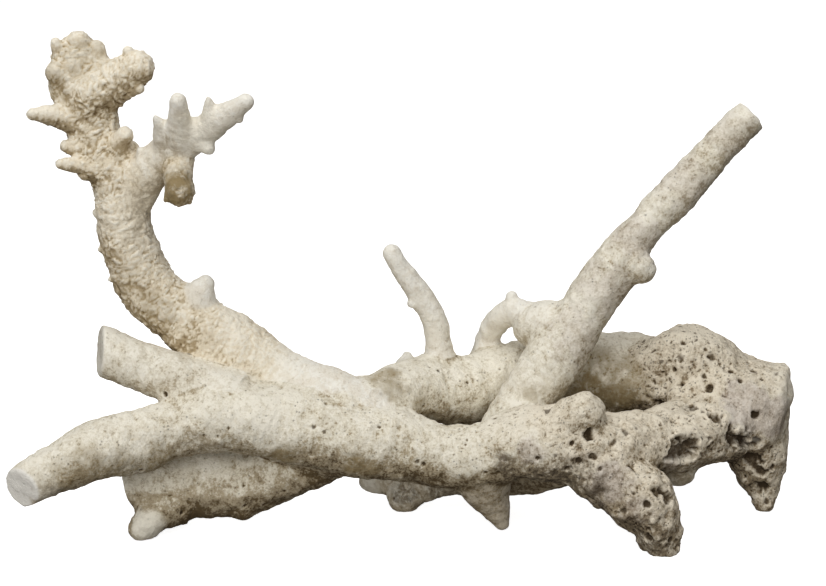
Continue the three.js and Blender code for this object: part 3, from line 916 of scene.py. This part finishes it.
    def scales(self, skin: Skin) -> Array:
        """The antler's knobbly scales: three sizes of bent cells, each rising a little towards the tip.

        A scale's height falls with the distance from its seed, to the power of 1.3.

        Args:
            skin: The skin with its marks.

        Returns:
            The height for each vertex.
        """
        local = skin.marks["local"] * (1.2, 1.0, 1.0)
        local = local + np.stack([2.0 * drift(local, 6, salt) for salt in (61, 62, 63)], axis=1)
        local = local + np.stack([0.7 * drift(local, 2.4, salt) for salt in (64, 65, 66)], axis=1)
        total = 0.4 * drift(local, 2.4, 67, 2)
        for pitch, height, salt in self.scale_sizes:
            cell = cells_of(local, pitch, salt)
            rise = (0.8 - cell.near).clip(0, 1) ** 1.3 * (1 - 0.75 * cell.towards[:, 0])
            total += height * (0.2 + 1.3 * cell.mark) * rise
        return total - 0.55

    def wrinkles(self, skin: Skin) -> Array:
        """Fine wrinkles across a limb: drift that is drawn out round the limb.

        Args:
            skin: The skin with its marks.

        Returns:
            The height for each vertex.
        """
        local = skin.marks["local"] + 1.2 * drift(skin.places, 7, 55)[:, None]
        fine = drift(local * (1.0, 0.4, 0.4), 2.3, 56, 2)
        return 0.5 * fine + 0.5 * drift(local * (1.0, 0.55, 0.55), 5.0, 57)

    def sponge(self, skin: Skin) -> tuple[Array, Array]:
        """Sponge holes: round the seeds of three sets of cells, those with a high number of their own.

        Args:
            skin: The skin with its marks.

        Returns:
            The height for each vertex, and how deep in a hole it lies from 0 to 1.
        """
        depth, dark = np.zeros(len(skin.places)), np.zeros(len(skin.places))
        bent = [
            1.1 * drift(skin.places, 2.1, salt) + 1.8 * drift(skin.places, 4.5, salt + 5)
            for salt in (93, 94, 99)
        ]
        places = skin.places + np.stack(bent, axis=1)
        thick = 0.5 + 0.9 * ramp(drift(skin.places, 15, 90), -0.3, 0.5)
        for pitch, deep, chance, salt in self.sponge_sizes:
            cell = cells_of(places, pitch, salt)
            size = 0.12 + 0.3 * cell.mark
            hole = (1 - ramp(cell.near, 0.3 * size, size * 1.3)) * (cell.mark > 1 - chance * thick)
            depth += deep * hole
            dark = np.maximum(dark, hole)
        return -depth, dark

    def holes(self, skin: Skin) -> tuple[Array, Array]:
        """The placed holes: full depth inside half of the radius, a ragged rim and nothing beyond.

        Each hole sits on the vertex that is nearest to its place in the table. The rim is ragged because
        drift is added to the distance.

        Args:
            skin: The skin with its places as they are before the fine reliefs.

        Returns:
            The height for each vertex, and how deep in a hole it lies from 0 to 1.
        """
        waver = 0.95 * drift(skin.places, 3.3, 301, 2)
        depth, dark = np.zeros(len(skin.places)), np.zeros(len(skin.places))
        for x, y, z, radius, deep in HOLES:
            away = np.linalg.norm(skin.places - (x, y, z), axis=1)
            seat = skin.places[away.argmin()]
            away = np.linalg.norm(skin.places - seat, axis=1) / max(radius, self.least_hole) + waver
            hole = 1 - ramp(away, 0.55, 1.2)
            depth = np.maximum(depth, deep * hole)
            dark = np.maximum(dark, hole)
        return -depth, dark

    def relief(self, skin: Skin) -> None:
        """Adds up the fine reliefs, and notes how deep in a hole each vertex lies.

        Args:
            skin: The skin, whose vertices move along their normals.
        """
        marks = skin.marks
        thin = np.clip(marks["radius"] / 9, 0.3, 1)
        grain = 0.3 * drift(skin.places, 3.0, 21, 2) * (1.1 - 0.6 * marks["smooth"])
        crumbs = 1.3 * drift(skin.places, 4.2, 22, 3) * np.clip(marks["spongy"], 0, 1)
        plain = np.clip(1 - marks["spongy"] - marks["scaly"], 0, 1) * thin
        sponge, sponge_dark = self.sponge(skin)
        placed, placed_dark = self.holes(skin)
        height = grain + crumbs + self.wrinkles(skin) * plain + self.scales(skin) * marks["scaly"] * thin
        height += sponge * marks["spongy"] * thin + placed
        marks["pore"] = np.maximum(sponge_dark * ramp(marks["spongy"], 0.05, 0.6), placed_dark)
        skin.places += skin.normals() * height[:, None]

    def flatten(self, skin: Skin, limbs: Sequence[Limb]) -> None:
        """Lays what is beyond a clean break back on its plane, a little roughly, and the feet on the table.

        Args:
            skin: The skin, which is changed and is marked where a break is fresh.
            limbs: The limbs it came from.
        """
        fresh = np.zeros(len(skin.places))
        rim = np.zeros(len(skin.places), bool)
        grain = 1.1 * drift(skin.places, 5, 401, 3)
        for i, limb in enumerate(limbs):
            if limb.name not in FRESH_BREAKS:
                continue
            spot, out = break_plane(limb.name)
            depth = (skin.places - spot - GROWN_SHIFT) @ out
            here = (skin.marks["limb"] == i) & (skin.marks["share"] > self.break_share)
            fresh = np.maximum(fresh, FRESH_BREAKS[limb.name] * here * ramp(depth, -1.1, -0.3))
            skin.places -= (np.where(here, np.maximum(depth - grain, 0), 0))[:, None] * out
            rim |= here & (np.abs(depth) < self.rim_width)
        near_rim = skin.blurred(rim.astype(float), 2)[:, None]
        skin.places += (skin.blurred(skin.places, 14) - skin.places) * near_rim
        skin.marks["fresh"] = skin.blurred(fresh, 1)
        skin.places[:, 2] = np.maximum(skin.places[:, 2], 0)

    def shade_marks(self, skin: Skin) -> None:
        """Marks that the finish paints shade and light by: how hollow the surface is, finely and widely, and
        how far it faces down.

        Hollow is how far the blurred surface lies outside the surface, over a set depth.

        Args:
            skin: The finished skin, which is given the marks.
        """
        normals = skin.normals()
        fine = skin.blurred(skin.places, 4)
        wide = skin.blurred(fine, 60)
        marks = skin.marks
        marks["nook"] = np.clip(((fine - skin.places) * normals).sum(axis=1) / self.nook_depth, -1, 1)
        marks["crease"] = np.clip(((wide - skin.places) * normals).sum(axis=1) / self.crease_depth, -1, 1)
        marks["under"] = 0.5 - 0.5 * skin.blurred(normals, 12)[:, 2]
        marks["normal"] = normals

    def grow(self) -> tuple[Skin, list[Limb]]:
        """Grows it, step by step.

        Returns:
            The finished skin and the limbs it came from.
        """
        limbs = self.limbs()
        skin = self.fused(limbs)
        self.settle(skin)
        self.read(skin, limbs)
        self.patches(skin)
        self.swell(skin)
        self.relief(skin)
        self.flatten(skin, limbs)
        self.shade_marks(skin)
        return skin, limbs


@dataclass
class Saw:
    """Parts the skin at the main forks into one closed piece for each node.

    Attributes:
        skin: The finished skin.
        limbs: The limbs it came from.
    """

    skin: Skin
    limbs: Sequence[Limb]
    KEPT: ClassVar[Sequence[str]] = (  # the marks that the finishes read
        "scaly", "spongy", "smooth", "pore", "nook", "crease", "under", "fresh",
        *(kind.value for kind in (Mark.RUBBED, Mark.STAIN, Mark.SOOT, Mark.BLEACH)),
    )

    def labels(self, nodes: Sequence[str]) -> Array:
        """The node of each vertex, by the stretch of the limb it lies on, with stray islands given away.

        Args:
            nodes: The nodes' names, whose indices are the labels.

        Returns:
            One label for each vertex.
        """
        marks = self.skin.marks
        label = np.zeros(len(self.skin.places), int)
        for i, limb in enumerate(self.limbs):
            rows = rows_of(limb.name, OWNERS)
            here = marks["limb"] == i
            ends = np.array([row[0] for row in rows])
            order = np.minimum(np.searchsorted(ends, marks["share"][here]), len(rows) - 1)
            label[here] = np.array([nodes.index(row[1]) for row in rows])[order]
        pairs = np.stack([self.skin.tail, self.skin.head], axis=1)
        same = pairs[label[pairs[:, 0]] == label[pairs[:, 1]]]
        group = gathered(len(label), same)
        sizes = np.bincount(group, minlength=len(label))
        for node in range(len(nodes)):
            mine = np.flatnonzero(label == node)
            main = group[mine][sizes[group[mine]].argmax()]
            label[mine[group[mine] != main]] = -1
        while (label < 0).any():
            lost = pairs[(label[pairs[:, 0]] < 0) & (label[pairs[:, 1]] >= 0)]
            if not len(lost):
                raise ValueError("a loose island of the skin belongs to no node")
            label[lost[:, 0]] = label[lost[:, 1]]
        return label

    def part(self, name: str, faces: Array) -> bpy.types.Object:
        """One piece: its faces, closed with a fan of triangles over each opening, and its marks.

        An opening is a group of sides that only one face has. The fan joins each of them to the middle of
        the group. The normals are those of the whole skin, so that no seam shows between two pieces.

        Args:
            name: The node's name.
            faces: The piece's faces, as rows of the skin's vertices.

        Returns:
            The piece.
        """
        used, local = np.unique(faces, return_inverse=True)
        local = local.reshape(-1, 4)
        places = self.skin.places[used]
        tail, head = local.reshape(-1), np.roll(local, -1, axis=1).reshape(-1)
        count = len(used)
        open_side = ~np.isin(tail * count + head, head * count + tail)
        tail, head = tail[open_side], head[open_side]
        group = gathered(count, np.stack([tail, head], axis=1))[tail]
        rims, rim = np.unique(group, return_inverse=True)
        middles = np.stack([np.bincount(rim, places[tail, axis]) for axis in range(3)], axis=1)
        middles /= np.bincount(rim)[:, None]
        fans = np.stack([head, tail, count + rim], axis=1)
        mesh = mesh_of(name + "_skin", np.vstack([places, middles]) * MM, local, fans)
        mesh.polygons.foreach_set("use_smooth", np.ones(len(mesh.polygons), bool))
        hidden = np.tile((0.0, 0.0, 1.0), (len(rims), 1))  # the middles lie inside the coral, out of sight
        normals = np.vstack([self.skin.marks["normal"][used], hidden])
        mesh.normals_split_custom_set_from_vertices(normals.astype(np.float32))
        for key in self.KEPT:
            values = np.concatenate([self.skin.marks[key][used], np.zeros(len(rims))])
            mesh.attributes.new(key, "FLOAT", "POINT").data.foreach_set("value", values.astype(np.float32))
        piece = bpy.data.objects.new(name + "_skin", mesh)
        bpy.context.scene.collection.objects.link(piece)
        return piece

    def pieces(self, nodes: Sequence[str]) -> dict[str, bpy.types.Object]:
        """All pieces by their node's name; a face goes with its first corner."""
        label = self.labels(nodes)[self.skin.faces[:, 0]]
        return {name: self.part(name, self.skin.faces[label == i]) for i, name in enumerate(nodes)}


class Value:
    """A shader socket that can be reckoned with: each operation adds its Math node to the tree."""

    def __init__(self, tree: bpy.types.NodeTree, socket: bpy.types.NodeSocket) -> None:
        """Wraps a socket of the tree."""
        self.tree = tree
        self.socket = socket

    def _math(self, operation: str, first: "Value | float", second: "Value | float") -> "Value":
        """A Math node of that operation on two values."""
        return Shader.add(self.tree, "ShaderNodeMath", {"operation": operation}, [first, second])

    def __add__(self, other: "Value | float") -> "Value":
        """Self plus other."""
        return self._math("ADD", self, other)

    def __radd__(self, other: float) -> "Value":
        """Other plus self."""
        return self._math("ADD", other, self)

    def __sub__(self, other: "Value | float") -> "Value":
        """Self less other."""
        return self._math("SUBTRACT", self, other)

    def __rsub__(self, other: float) -> "Value":
        """Other less self."""
        return self._math("SUBTRACT", other, self)

    def __mul__(self, other: "Value | float") -> "Value":
        """Self times other."""
        return self._math("MULTIPLY", self, other)

    def __rmul__(self, other: float) -> "Value":
        """Other times self."""
        return self._math("MULTIPLY", other, self)

    def __truediv__(self, other: "Value | float") -> "Value":
        """Self over other."""
        return self._math("DIVIDE", self, other)

    def __rtruediv__(self, other: float) -> "Value":
        """Other over self."""
        return self._math("DIVIDE", other, self)

    def larger(self, other: "Value | float") -> "Value":
        """The larger of the two."""
        return self._math("MAXIMUM", self, other)

    def between(self, low: float, high: float) -> "Value":
        """A smooth step.

        Args:
            low: Where it is 0.
            high: Where it is 1, which may be the smaller of the two.

        Returns:
            The step.
        """
        settings = {"interpolation_type": "SMOOTHSTEP"}
        ends = [low, high, 0.0, 1.0] if low < high else [high, low, 1.0, 0.0]
        return Shader.add(self.tree, "ShaderNodeMapRange", settings, [self, *ends])


class Shader:
    """A material's node tree, with one method that adds any node and a few for marks, noises and blends."""

    def __init__(self, name: str) -> None:
        """Starts an empty material.

        Args:
            name: The material's name.
        """
        self.material = bpy.data.materials.new(name)
        self.material.use_nodes = True
        self.tree = self.material.node_tree
        self.tree.nodes.clear()
        self.marks: dict[str, Value] = {}

    @staticmethod
    def add(
        tree: bpy.types.NodeTree,
        kind: str,
        settings: Mapping[str, object] | None = None,
        inputs: Mapping[int | str, object] | Sequence[object] | None = None,
        output: int | str = 0,
    ) -> Value:
        """Adds a node.

        Args:
            tree: The tree it goes into.
            kind: The node's type.
            settings: Its properties, which are set first.
            inputs: Values or links of its sockets, by name or number, or in order.
            output: Which output is given back.

        Returns:
            The output, or a closing node's first input.
        """
        node = tree.nodes.new(kind)
        for key, setting in (settings or {}).items():
            setattr(node, key, setting)
        pairs = inputs.items() if isinstance(inputs, Mapping) else enumerate(inputs or ())
        for key, given in pairs:
            if isinstance(given, Value):
                tree.links.new(given.socket, node.inputs[key])
            elif given is not None:
                node.inputs[key].default_value = given
        return Value(tree, node.outputs[output] if len(node.outputs) else node.inputs[0])

    def node(
        self,
        kind: str,
        settings: Mapping[str, object] | None = None,
        inputs: Mapping[int | str, object] | Sequence[object] | None = None,
        output: int | str = 0,
    ) -> Value:
        """Adds a node to this material, as add does."""
        return Shader.add(self.tree, kind, settings, inputs, output)

    @cached_property
    def place(self) -> Value:
        """The object coordinates, in metres."""
        return self.node("ShaderNodeTexCoord", output="Object")

    @cached_property
    def height(self) -> Value:
        """How high above the table a spot lies, in metres."""
        return self.node("ShaderNodeSeparateXYZ", None, [self.place], "Z")

    def mark(self, name: str) -> Value:
        """A mark that the surface carries. Its node is made once.

        Args:
            name: The mark's name.

        Returns:
            The mark.
        """
        if name not in self.marks:
            self.marks[name] = self.node("ShaderNodeAttribute", {"attribute_name": name}, output="Fac")
        return self.marks[name]

    def noise(self, pitch: float, detail: float = 2, roughness: float = 0.5, shift: float = 0) -> Value:
        """Noise from 0 to 1.

        Args:
            pitch: How wide its lumps are, in millimetres.
            detail: How many finer layers it has.
            roughness: How much each finer layer counts.
            shift: How far the pattern is moved aside, in metres, for another one.

        Returns:
            The noise.
        """
        place = self.place
        if shift:
            aside = (shift, shift, -shift)
            place = self.node("ShaderNodeVectorMath", {"operation": "ADD"}, [self.place, aside])
        inputs = {"Vector": place, "Scale": 1 / (pitch * MM), "Detail": detail, "Roughness": roughness}
        return self.node("ShaderNodeTexNoise", {"noise_dimensions": "3D"}, inputs)

    def pores(self, pitch: float, size: float, shift: float = 0) -> Value:
        """Dots round random seeds, with sizes that differ.

        Args:
            pitch: How far apart the seeds are, in millimetres.
            size: The largest dot's reach, in pitches.
            shift: How far the pattern of sizes is moved aside, in metres.

        Returns:
            1 in a dot and 0 outside.
        """
        inputs = {"Vector": self.place, "Scale": 1 / (pitch * MM), "Randomness": 1.0}
        distance = self.node("ShaderNodeTexVoronoi", {"feature": "F1"}, inputs, "Distance")
        spread = self.noise(pitch * 2.3, 1, 0.5, 0.013 + shift)
        return (distance / (spread.between(0.3, 0.75) * size + 0.02)).between(1.0, 0.45)

    def blend(self, first: "Value | Colour", second: "Value | Colour", share: Value | float) -> Value:
        """The first colour gone over to the second by that share."""
        settings = {"data_type": "RGBA", "blend_type": "MIX", "clamp_factor": True}
        return self.node("ShaderNodeMix", settings, {0: share, 6: first, 7: second}, 2)


def tint(red: float, green: float, blue: float) -> Colour:
    """A colour from its everyday 0 to 255 values, as linear light."""
    line = [((c / 255 + 0.055) / 1.055) ** 2.4 if c > 10 else c / 3294.6 for c in (red, green, blue)]
    return (*line, 1.0)


@dataclass(frozen=True)
class Tones:
    """Four colours of one kind of surface, from clean with painted light to dirty with painted shade.

    Attributes:
        light: Bleached spots, and ridges and tops made lighter as painted light.
        body: Most of it.
        shade: Dusty hollows and painted shade.
        dirt_and_shade: The dirtiest corners and the deepest painted shade.
    """

    light: Colour
    body: Colour
    shade: Colour
    dirt_and_shade: Colour

    def over(self, paint: Shader, dust_and_shade: Value) -> Value:
        """The colour of a spot, which goes from each tone to the next as its dust and painted shade get
        thicker.

        Args:
            paint: The shader it goes into.
            dust_and_shade: How dusty and how shaded it is painted, from 0 to 1.

        Returns:
            The colour.
        """
        # from the painted-lit clean tone through the body to dirt and painted shade
        colour = paint.blend(self.light, self.body, dust_and_shade.between(0.08, 0.38))
        colour = paint.blend(colour, self.shade, dust_and_shade.between(0.36, 0.68))
        return paint.blend(colour, self.dirt_and_shade, dust_and_shade.between(0.66, 1.05))


class CoralPaint(Shader):
    """A shader with the coral's own noises, from broad to fine, each made once."""

    @cached_property
    def broad(self) -> Value:
        """Noise as wide as a limb."""
        return self.noise(26, 3)

    @cached_property
    def mottle(self) -> Value:
        """Noise as wide as a pencil."""
        return self.noise(6, 4, 0.6)

    @cached_property
    def patchy(self) -> Value:
        """Noise as wide as a large sponge hole."""
        return self.noise(2.4, 3, 0.65, 0.031)

    @cached_property
    def grit(self) -> Value:
        """Noise as fine as sand."""
        return self.noise(1.0, 2, 0.6, 0.007)


@dataclass(frozen=True)
class BleachedCoral:
    """The finish of the whole skeleton: what each kind of surface looks like, as everyday colours.

    Attributes:
        trunk: The weathered trunk.
        worn: The rubbed, smooth limbs.
        antler: The scaly antler.
        reef: The spongy reef end.
        mauve: The rubbed patches of the reef end.
        umber: The dirt and painted shade in holes.
        olive: The stains.
        slate: The patches of painted shade.
        fresh: A fresh break.
        roughness: How matt it all is.
        gloss: How strongly it reflects.
    """

    trunk: Tones = Tones(tint(238, 233, 219), tint(221, 214, 196), tint(174, 160, 134), tint(98, 82, 56))
    worn: Tones = Tones(tint(242, 239, 230), tint(231, 225, 212), tint(203, 192, 172), tint(142, 126, 98))
    antler: Tones = Tones(tint(241, 234, 218), tint(227, 215, 192), tint(181, 163, 132), tint(120, 101, 70))
    reef: Tones = Tones(tint(230, 221, 203), tint(209, 198, 178), tint(150, 135, 111), tint(66, 54, 38))
    mauve: Tones = Tones(tint(214, 205, 194), tint(193, 182, 169), tint(152, 140, 126), tint(74, 62, 48))
    umber: Colour = tint(66, 54, 39)
    olive: Colour = tint(140, 122, 86)
    slate: Colour = tint(92, 83, 70)
    fresh: Colour = tint(246, 243, 236)
    roughness: float = 0.9
    gloss: float = 0.2

    def dust_and_shade(self, paint: CoralPaint) -> Value:
        """How dusty and how shaded a spot is painted: one value, which each kind of surface turns into its
        own colours.

        It is broad, middling and fine noise for the dust, plus painted shade on undersides and in wide
        creases, dirt and painted shade in fine hollows, darker towards the bottom, and painted light on
        ridges and on top.

        Args:
            paint: The shader it goes into.

        Returns:
            About 0 for the cleanest, most brightly painted spots and 1 for the dirtiest, most deeply shaded
            ones.
        """
        scaly, spongy, smooth = (paint.mark(key) for key in ("scaly", "spongy", "smooth"))
        nook, crease, under = (paint.mark(key) for key in ("nook", "crease", "under"))
        bleach, low = paint.mark(Mark.BLEACH.value), paint.height.between(0.062, 0.015)
        dust_and_shade = 0.3 + (paint.broad - 0.5) * 0.8 + (paint.mottle - 0.5) * (0.9 - scaly * 0.5) - smooth * 0.06
        fine = (paint.patchy - 0.5) * 0.95 + (paint.grit - 0.5) * 0.8
        dust_and_shade = dust_and_shade + fine * (1.2 - smooth * 0.7 - scaly * 0.85 - low * 0.3)
        # painted shade on undersides; then darker towards the bottom, and painted light on faces that look
        # up; then painted shade in wide creases, dirt and painted shade in fine hollows, and a painted
        # highlight on fine ridges
        dust_and_shade = dust_and_shade + under.between(0.35, 0.8) * (0.36 - smooth * 0.2 + scaly * 0.14)
        dust_and_shade = dust_and_shade + low * (0.34 - spongy * 0.22) * (1 - bleach) - under.between(0.3, 0.0) * 0.1
        return dust_and_shade + crease.larger(0.0) * (0.8 - scaly * 0.35) + nook * (0.18 + scaly * 0.2)

    def clean(self, paint: CoralPaint) -> Value:
        """The colour of the surface itself, with its dust and its painted light and shade: each kind of
        surface over the trunk's.

        Args:
            paint: The shader it goes into.

        Returns:
            The colour.
        """
        dust_and_shade = self.dust_and_shade(paint)
        kinds = (
            (self.worn, paint.mark("smooth").between(0.1, 0.8)),
            (self.reef, paint.mark("spongy").between(0.05, 0.7)),
            (self.antler, paint.mark("scaly").between(0.05, 0.6)),
            (self.mauve, paint.mark(Mark.RUBBED.value).between(0.1, 0.8) * 0.9),
        )
        colour = self.trunk.over(paint, dust_and_shade)
        for tones, share in kinds:
            colour = paint.blend(colour, tones.over(paint, dust_and_shade), share)
        return colour

    def material(self, name: str) -> bpy.types.Material:
        """A material of this finish.

        Stains, patches of painted shade, specks, the dirt and painted shade in the holes, the bleached
        patches and the fresh breaks go over the surface's colour with its painted light and shade, in that
        order.

        Args:
            name: The material's name.

        Returns:
            The material.
        """
        paint = CoralPaint(name)
        smooth, unscaly = paint.mark("smooth"), 1 - paint.mark("scaly")
        unrubbed = 1 - paint.mark(Mark.RUBBED.value)
        specks = paint.patchy.between(0.6, 0.72) * (1 - smooth * 0.7) * unscaly
        pinholes = paint.pores(2.6, 0.24) * (1 - smooth * 0.8) * unscaly
        crumbly = paint.pores(1.7, 0.42, 0.02) * paint.mark("spongy").between(0.3, 0.9) * unrubbed
        layers = (
            (self.olive, paint.mark(Mark.STAIN.value) * paint.mottle.between(0.22, 0.5) * 0.95),
            # painted shade: the dark patches where shade falls under the trunk, round the feet and in hollows
            (self.slate, paint.mark(Mark.SOOT.value) * paint.patchy.between(0.3, 0.6) * 0.8),
            (self.trunk.dirt_and_shade, specks * 0.3),
            # dirt and painted shade in the pinholes, the crumbly pores and the holes
            (self.umber, pinholes * 0.55),
            (self.umber, crumbly * 0.55),
            (self.umber, paint.mark("pore").between(0.25, 1.0) * 0.7),
            (self.trunk.light, paint.mark(Mark.BLEACH.value) * 0.75),
            (self.fresh, paint.mark("fresh")),
        )
        colour = self.clean(paint)
        for tone, share in layers:
            colour = paint.blend(colour, tone, share)
        height = paint.grit * 0.6 + paint.patchy * 0.8 + paint.mottle * 0.3 - pinholes * 0.5 - crumbly * 0.8
        bump = paint.node("ShaderNodeBump", None, {"Strength": 0.9, "Distance": 0.8 * MM, "Height": height})
        inputs = {"Base Color": colour, "Normal": bump, "Roughness": self.roughness}
        inputs["Specular IOR Level"] = self.gloss
        coral = paint.node("ShaderNodeBsdfPrincipled", None, inputs)
        paint.node("ShaderNodeOutputMaterial", None, {"Surface": coral})
        return paint.material


class Slot(Enum):
    """The material slots: pale worn limbs, the cream antler and the greyer reef end."""

    WORN_WHITE = "worn_white"
    ANTLER_CREAM = "antler_cream"
    REEF_GREY = "reef_grey"


# The frame's nodes and the slot of each.
NODES = {
    "main_trunk": Slot.WORN_WHITE,
    "cut_arm": Slot.WORN_WHITE,
    "cut_stub": Slot.WORN_WHITE,
    "antler_stem": Slot.ANTLER_CREAM,
    "antler_head": Slot.ANTLER_CREAM,
    "antler_spur": Slot.ANTLER_CREAM,
    "rear_bough": Slot.WORN_WHITE,
    "thin_finger": Slot.WORN_WHITE,
    "straight_branch": Slot.WORN_WHITE,
    "arch_twig": Slot.WORN_WHITE,
    "pitted_trunk": Slot.REEF_GREY,
    "front_foot": Slot.REEF_GREY,
    "reef_block": Slot.REEF_GREY,
    "rear_foot": Slot.REEF_GREY,
    "spike_root": Slot.WORN_WHITE,
    "rear_root": Slot.WORN_WHITE,
}


@dataclass
class Coral:
    """The coral itself: one piece for each node of the frame.

    Attributes:
        finish: How the skeleton is finished.
        nodes: The frame's nodes and the material slot of each.
    """

    finish: BleachedCoral = field(default_factory=BleachedCoral)
    nodes: Mapping[str, Slot] = field(default_factory=lambda: dict(NODES))

    def build(self) -> list[bpy.types.Object]:
        """Grows the skin, parts it and dresses the pieces.

        Returns:
            The pieces.
        """
        skin, limbs = Grower(voxel=FINE_VOXEL).grow()
        log.info("skin: %d vertices", len(skin.places))
        materials = {slot: self.finish.material(slot.value) for slot in Slot}
        made = []
        for name, piece in Saw(skin, limbs).pieces(list(self.nodes)).items():
            slot = self.nodes[name]
            piece.data.materials.append(materials[slot])
            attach(piece, "root")
            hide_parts(name)
            log.info("%s: %d faces", piece.name, len(piece.data.polygons))
            made.append(piece)
        return made


@dataclass(frozen=True)
class Lamp:
    """A square soft light.

    Attributes:
        name: The lamp's name.
        place: Where it hangs, in metres.
        size: Its width, in metres.
        power: Its power, in watts.
        tone: Its colour.
    """

    name: str
    place: Point
    size: float
    power: float
    tone: Point

    def hang(self, target: Point) -> None:
        """Puts the lamp in its place.

        Args:
            target: The point it faces.
        """
        light = bpy.data.lights.new(self.name, "AREA")
        light.shape = "SQUARE"
        light.size = self.size
        light.energy = self.power
        light.color = self.tone
        lamp = bpy.data.objects.new(self.name, light)
        lamp.location = self.place
        lamp.rotation_euler = facing(self.place, target)
        bpy.context.scene.collection.objects.link(lamp)


def facing(place: Point, target: Point) -> Point:
    """The turn that makes a lamp or camera at one place face another."""
    dx, dy, dz = (there - here for there, here in zip(target, place))
    return (math.atan2(math.hypot(dx, dy), -dz), 0.0, math.atan2(dy, dx) - math.pi / 2)


@dataclass
class Stage:
    """The pale floor, the soft lights and the camera.

    Attributes:
        floor_half: Half the floor's width, in metres.
        floor_glow: How bright the floor is by itself.
        lamps: A large lamp overhead, one in front and a weak one behind.
        lit: The point that the lamps face.
        sky: The sky's colour.
        sky_strength: How bright the sky is.
        aim: The point the camera looks at.
        distance: How far the camera is from it.
        tilt: How far the camera looks down, in degrees.
        lens: The lens's focal length in millimetres, for a picture 36 mm wide.
    """

    floor_half: float = 9.0
    floor_glow: float = 0.88
    lamps: Sequence[Lamp] = (
        Lamp("overhead", (-0.1, -0.4, 1.3), 1.5, 12.5, (1, 0.995, 0.98)),
        Lamp("front", (-0.45, -1.7, 0.45), 2.4, 26, (1, 0.99, 0.97)),
        Lamp("back", (0.4, 1.8, 0.9), 2.0, 10, (1, 0.995, 0.98)),
    )
    lit: Point = (0, 0, 0.08)
    sky: Colour = (1, 0.94, 0.85, 1)
    sky_strength: float = 0.12
    aim: Point = (0.00063, -0.023182, 0.128)
    distance: float = 0.975
    tilt: float = 15.0
    lens: float = 85.0

    def floor(self) -> None:
        """A plain pale floor, which gives the coral no light from below."""
        half = self.floor_half
        corners = np.array([(-half, -half, 0), (half, -half, 0), (half, half, 0), (-half, half, 0)], float)
        floor = bpy.data.objects.new("floor", mesh_of("floor", corners, np.array([[0, 1, 2, 3]])))
        paint = Shader("pale_floor")
        matt = paint.node("ShaderNodeBsdfDiffuse", None, {"Color": (0.9, 0.9, 0.9, 1)})
        glow = paint.node("ShaderNodeEmission", None, {"Color": (1, 1, 1, 1), "Strength": self.floor_glow})
        both = paint.node("ShaderNodeAddShader", None, [matt, glow])
        paint.node("ShaderNodeOutputMaterial", None, {"Surface": both})
        floor.data.materials.append(paint.material)
        floor.visible_diffuse = False
        floor.visible_glossy = False
        bpy.context.scene.collection.objects.link(floor)

    def lights(self) -> None:
        """The lamps, and a sky that is dim to the coral and white to the camera."""
        for lamp in self.lamps:
            lamp.hang(self.lit)
        world = bpy.data.worlds.new("sky")
        world.use_nodes = True
        tree = world.node_tree
        tree.nodes.clear()
        dim = Shader.add(
            tree, "ShaderNodeBackground", None, {"Color": self.sky, "Strength": self.sky_strength}
        )
        white = Shader.add(tree, "ShaderNodeBackground", None, {"Color": (1, 1, 1, 1), "Strength": 1.0})
        seen = Shader.add(tree, "ShaderNodeLightPath", output="Is Camera Ray")
        both = Shader.add(tree, "ShaderNodeMixShader", None, [seen, dim, white])
        Shader.add(tree, "ShaderNodeOutputWorld", None, {"Surface": both})
        bpy.context.scene.world = world

    def camera(self) -> None:
        """The camera: level from side to side, and looking a little down."""
        data = bpy.data.cameras.new("camera")
        data.lens = self.lens
        data.sensor_width = 36.0
        data.clip_end = 50.0
        camera = bpy.data.objects.new("camera", data)
        x, y, z = self.aim
        tilt = math.radians(self.tilt)
        place = (x, y - self.distance * math.cos(tilt), z + self.distance * math.sin(tilt))
        camera.location = place
        camera.rotation_euler = facing(place, self.aim)
        bpy.context.scene.collection.objects.link(camera)
        bpy.context.scene.camera = camera

    def build(self) -> None:
        """Sets the stage."""
        self.floor()
        self.lights()
        self.camera()
        bpy.context.scene.view_settings.view_transform = "Standard"
        log.info("stage set")


def note_sizes() -> None:
    """Brings the scene's transforms up to date."""
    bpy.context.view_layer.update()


def main() -> None:
    """Builds the stage and the coral, in that order."""
    logging.basicConfig(level=logging.INFO, format="%(message)s")
    Stage().build()
    pieces = Coral().build()
    log.info("%d pieces", len(pieces))
    note_sizes()


if __name__ == "__main__":
    main()
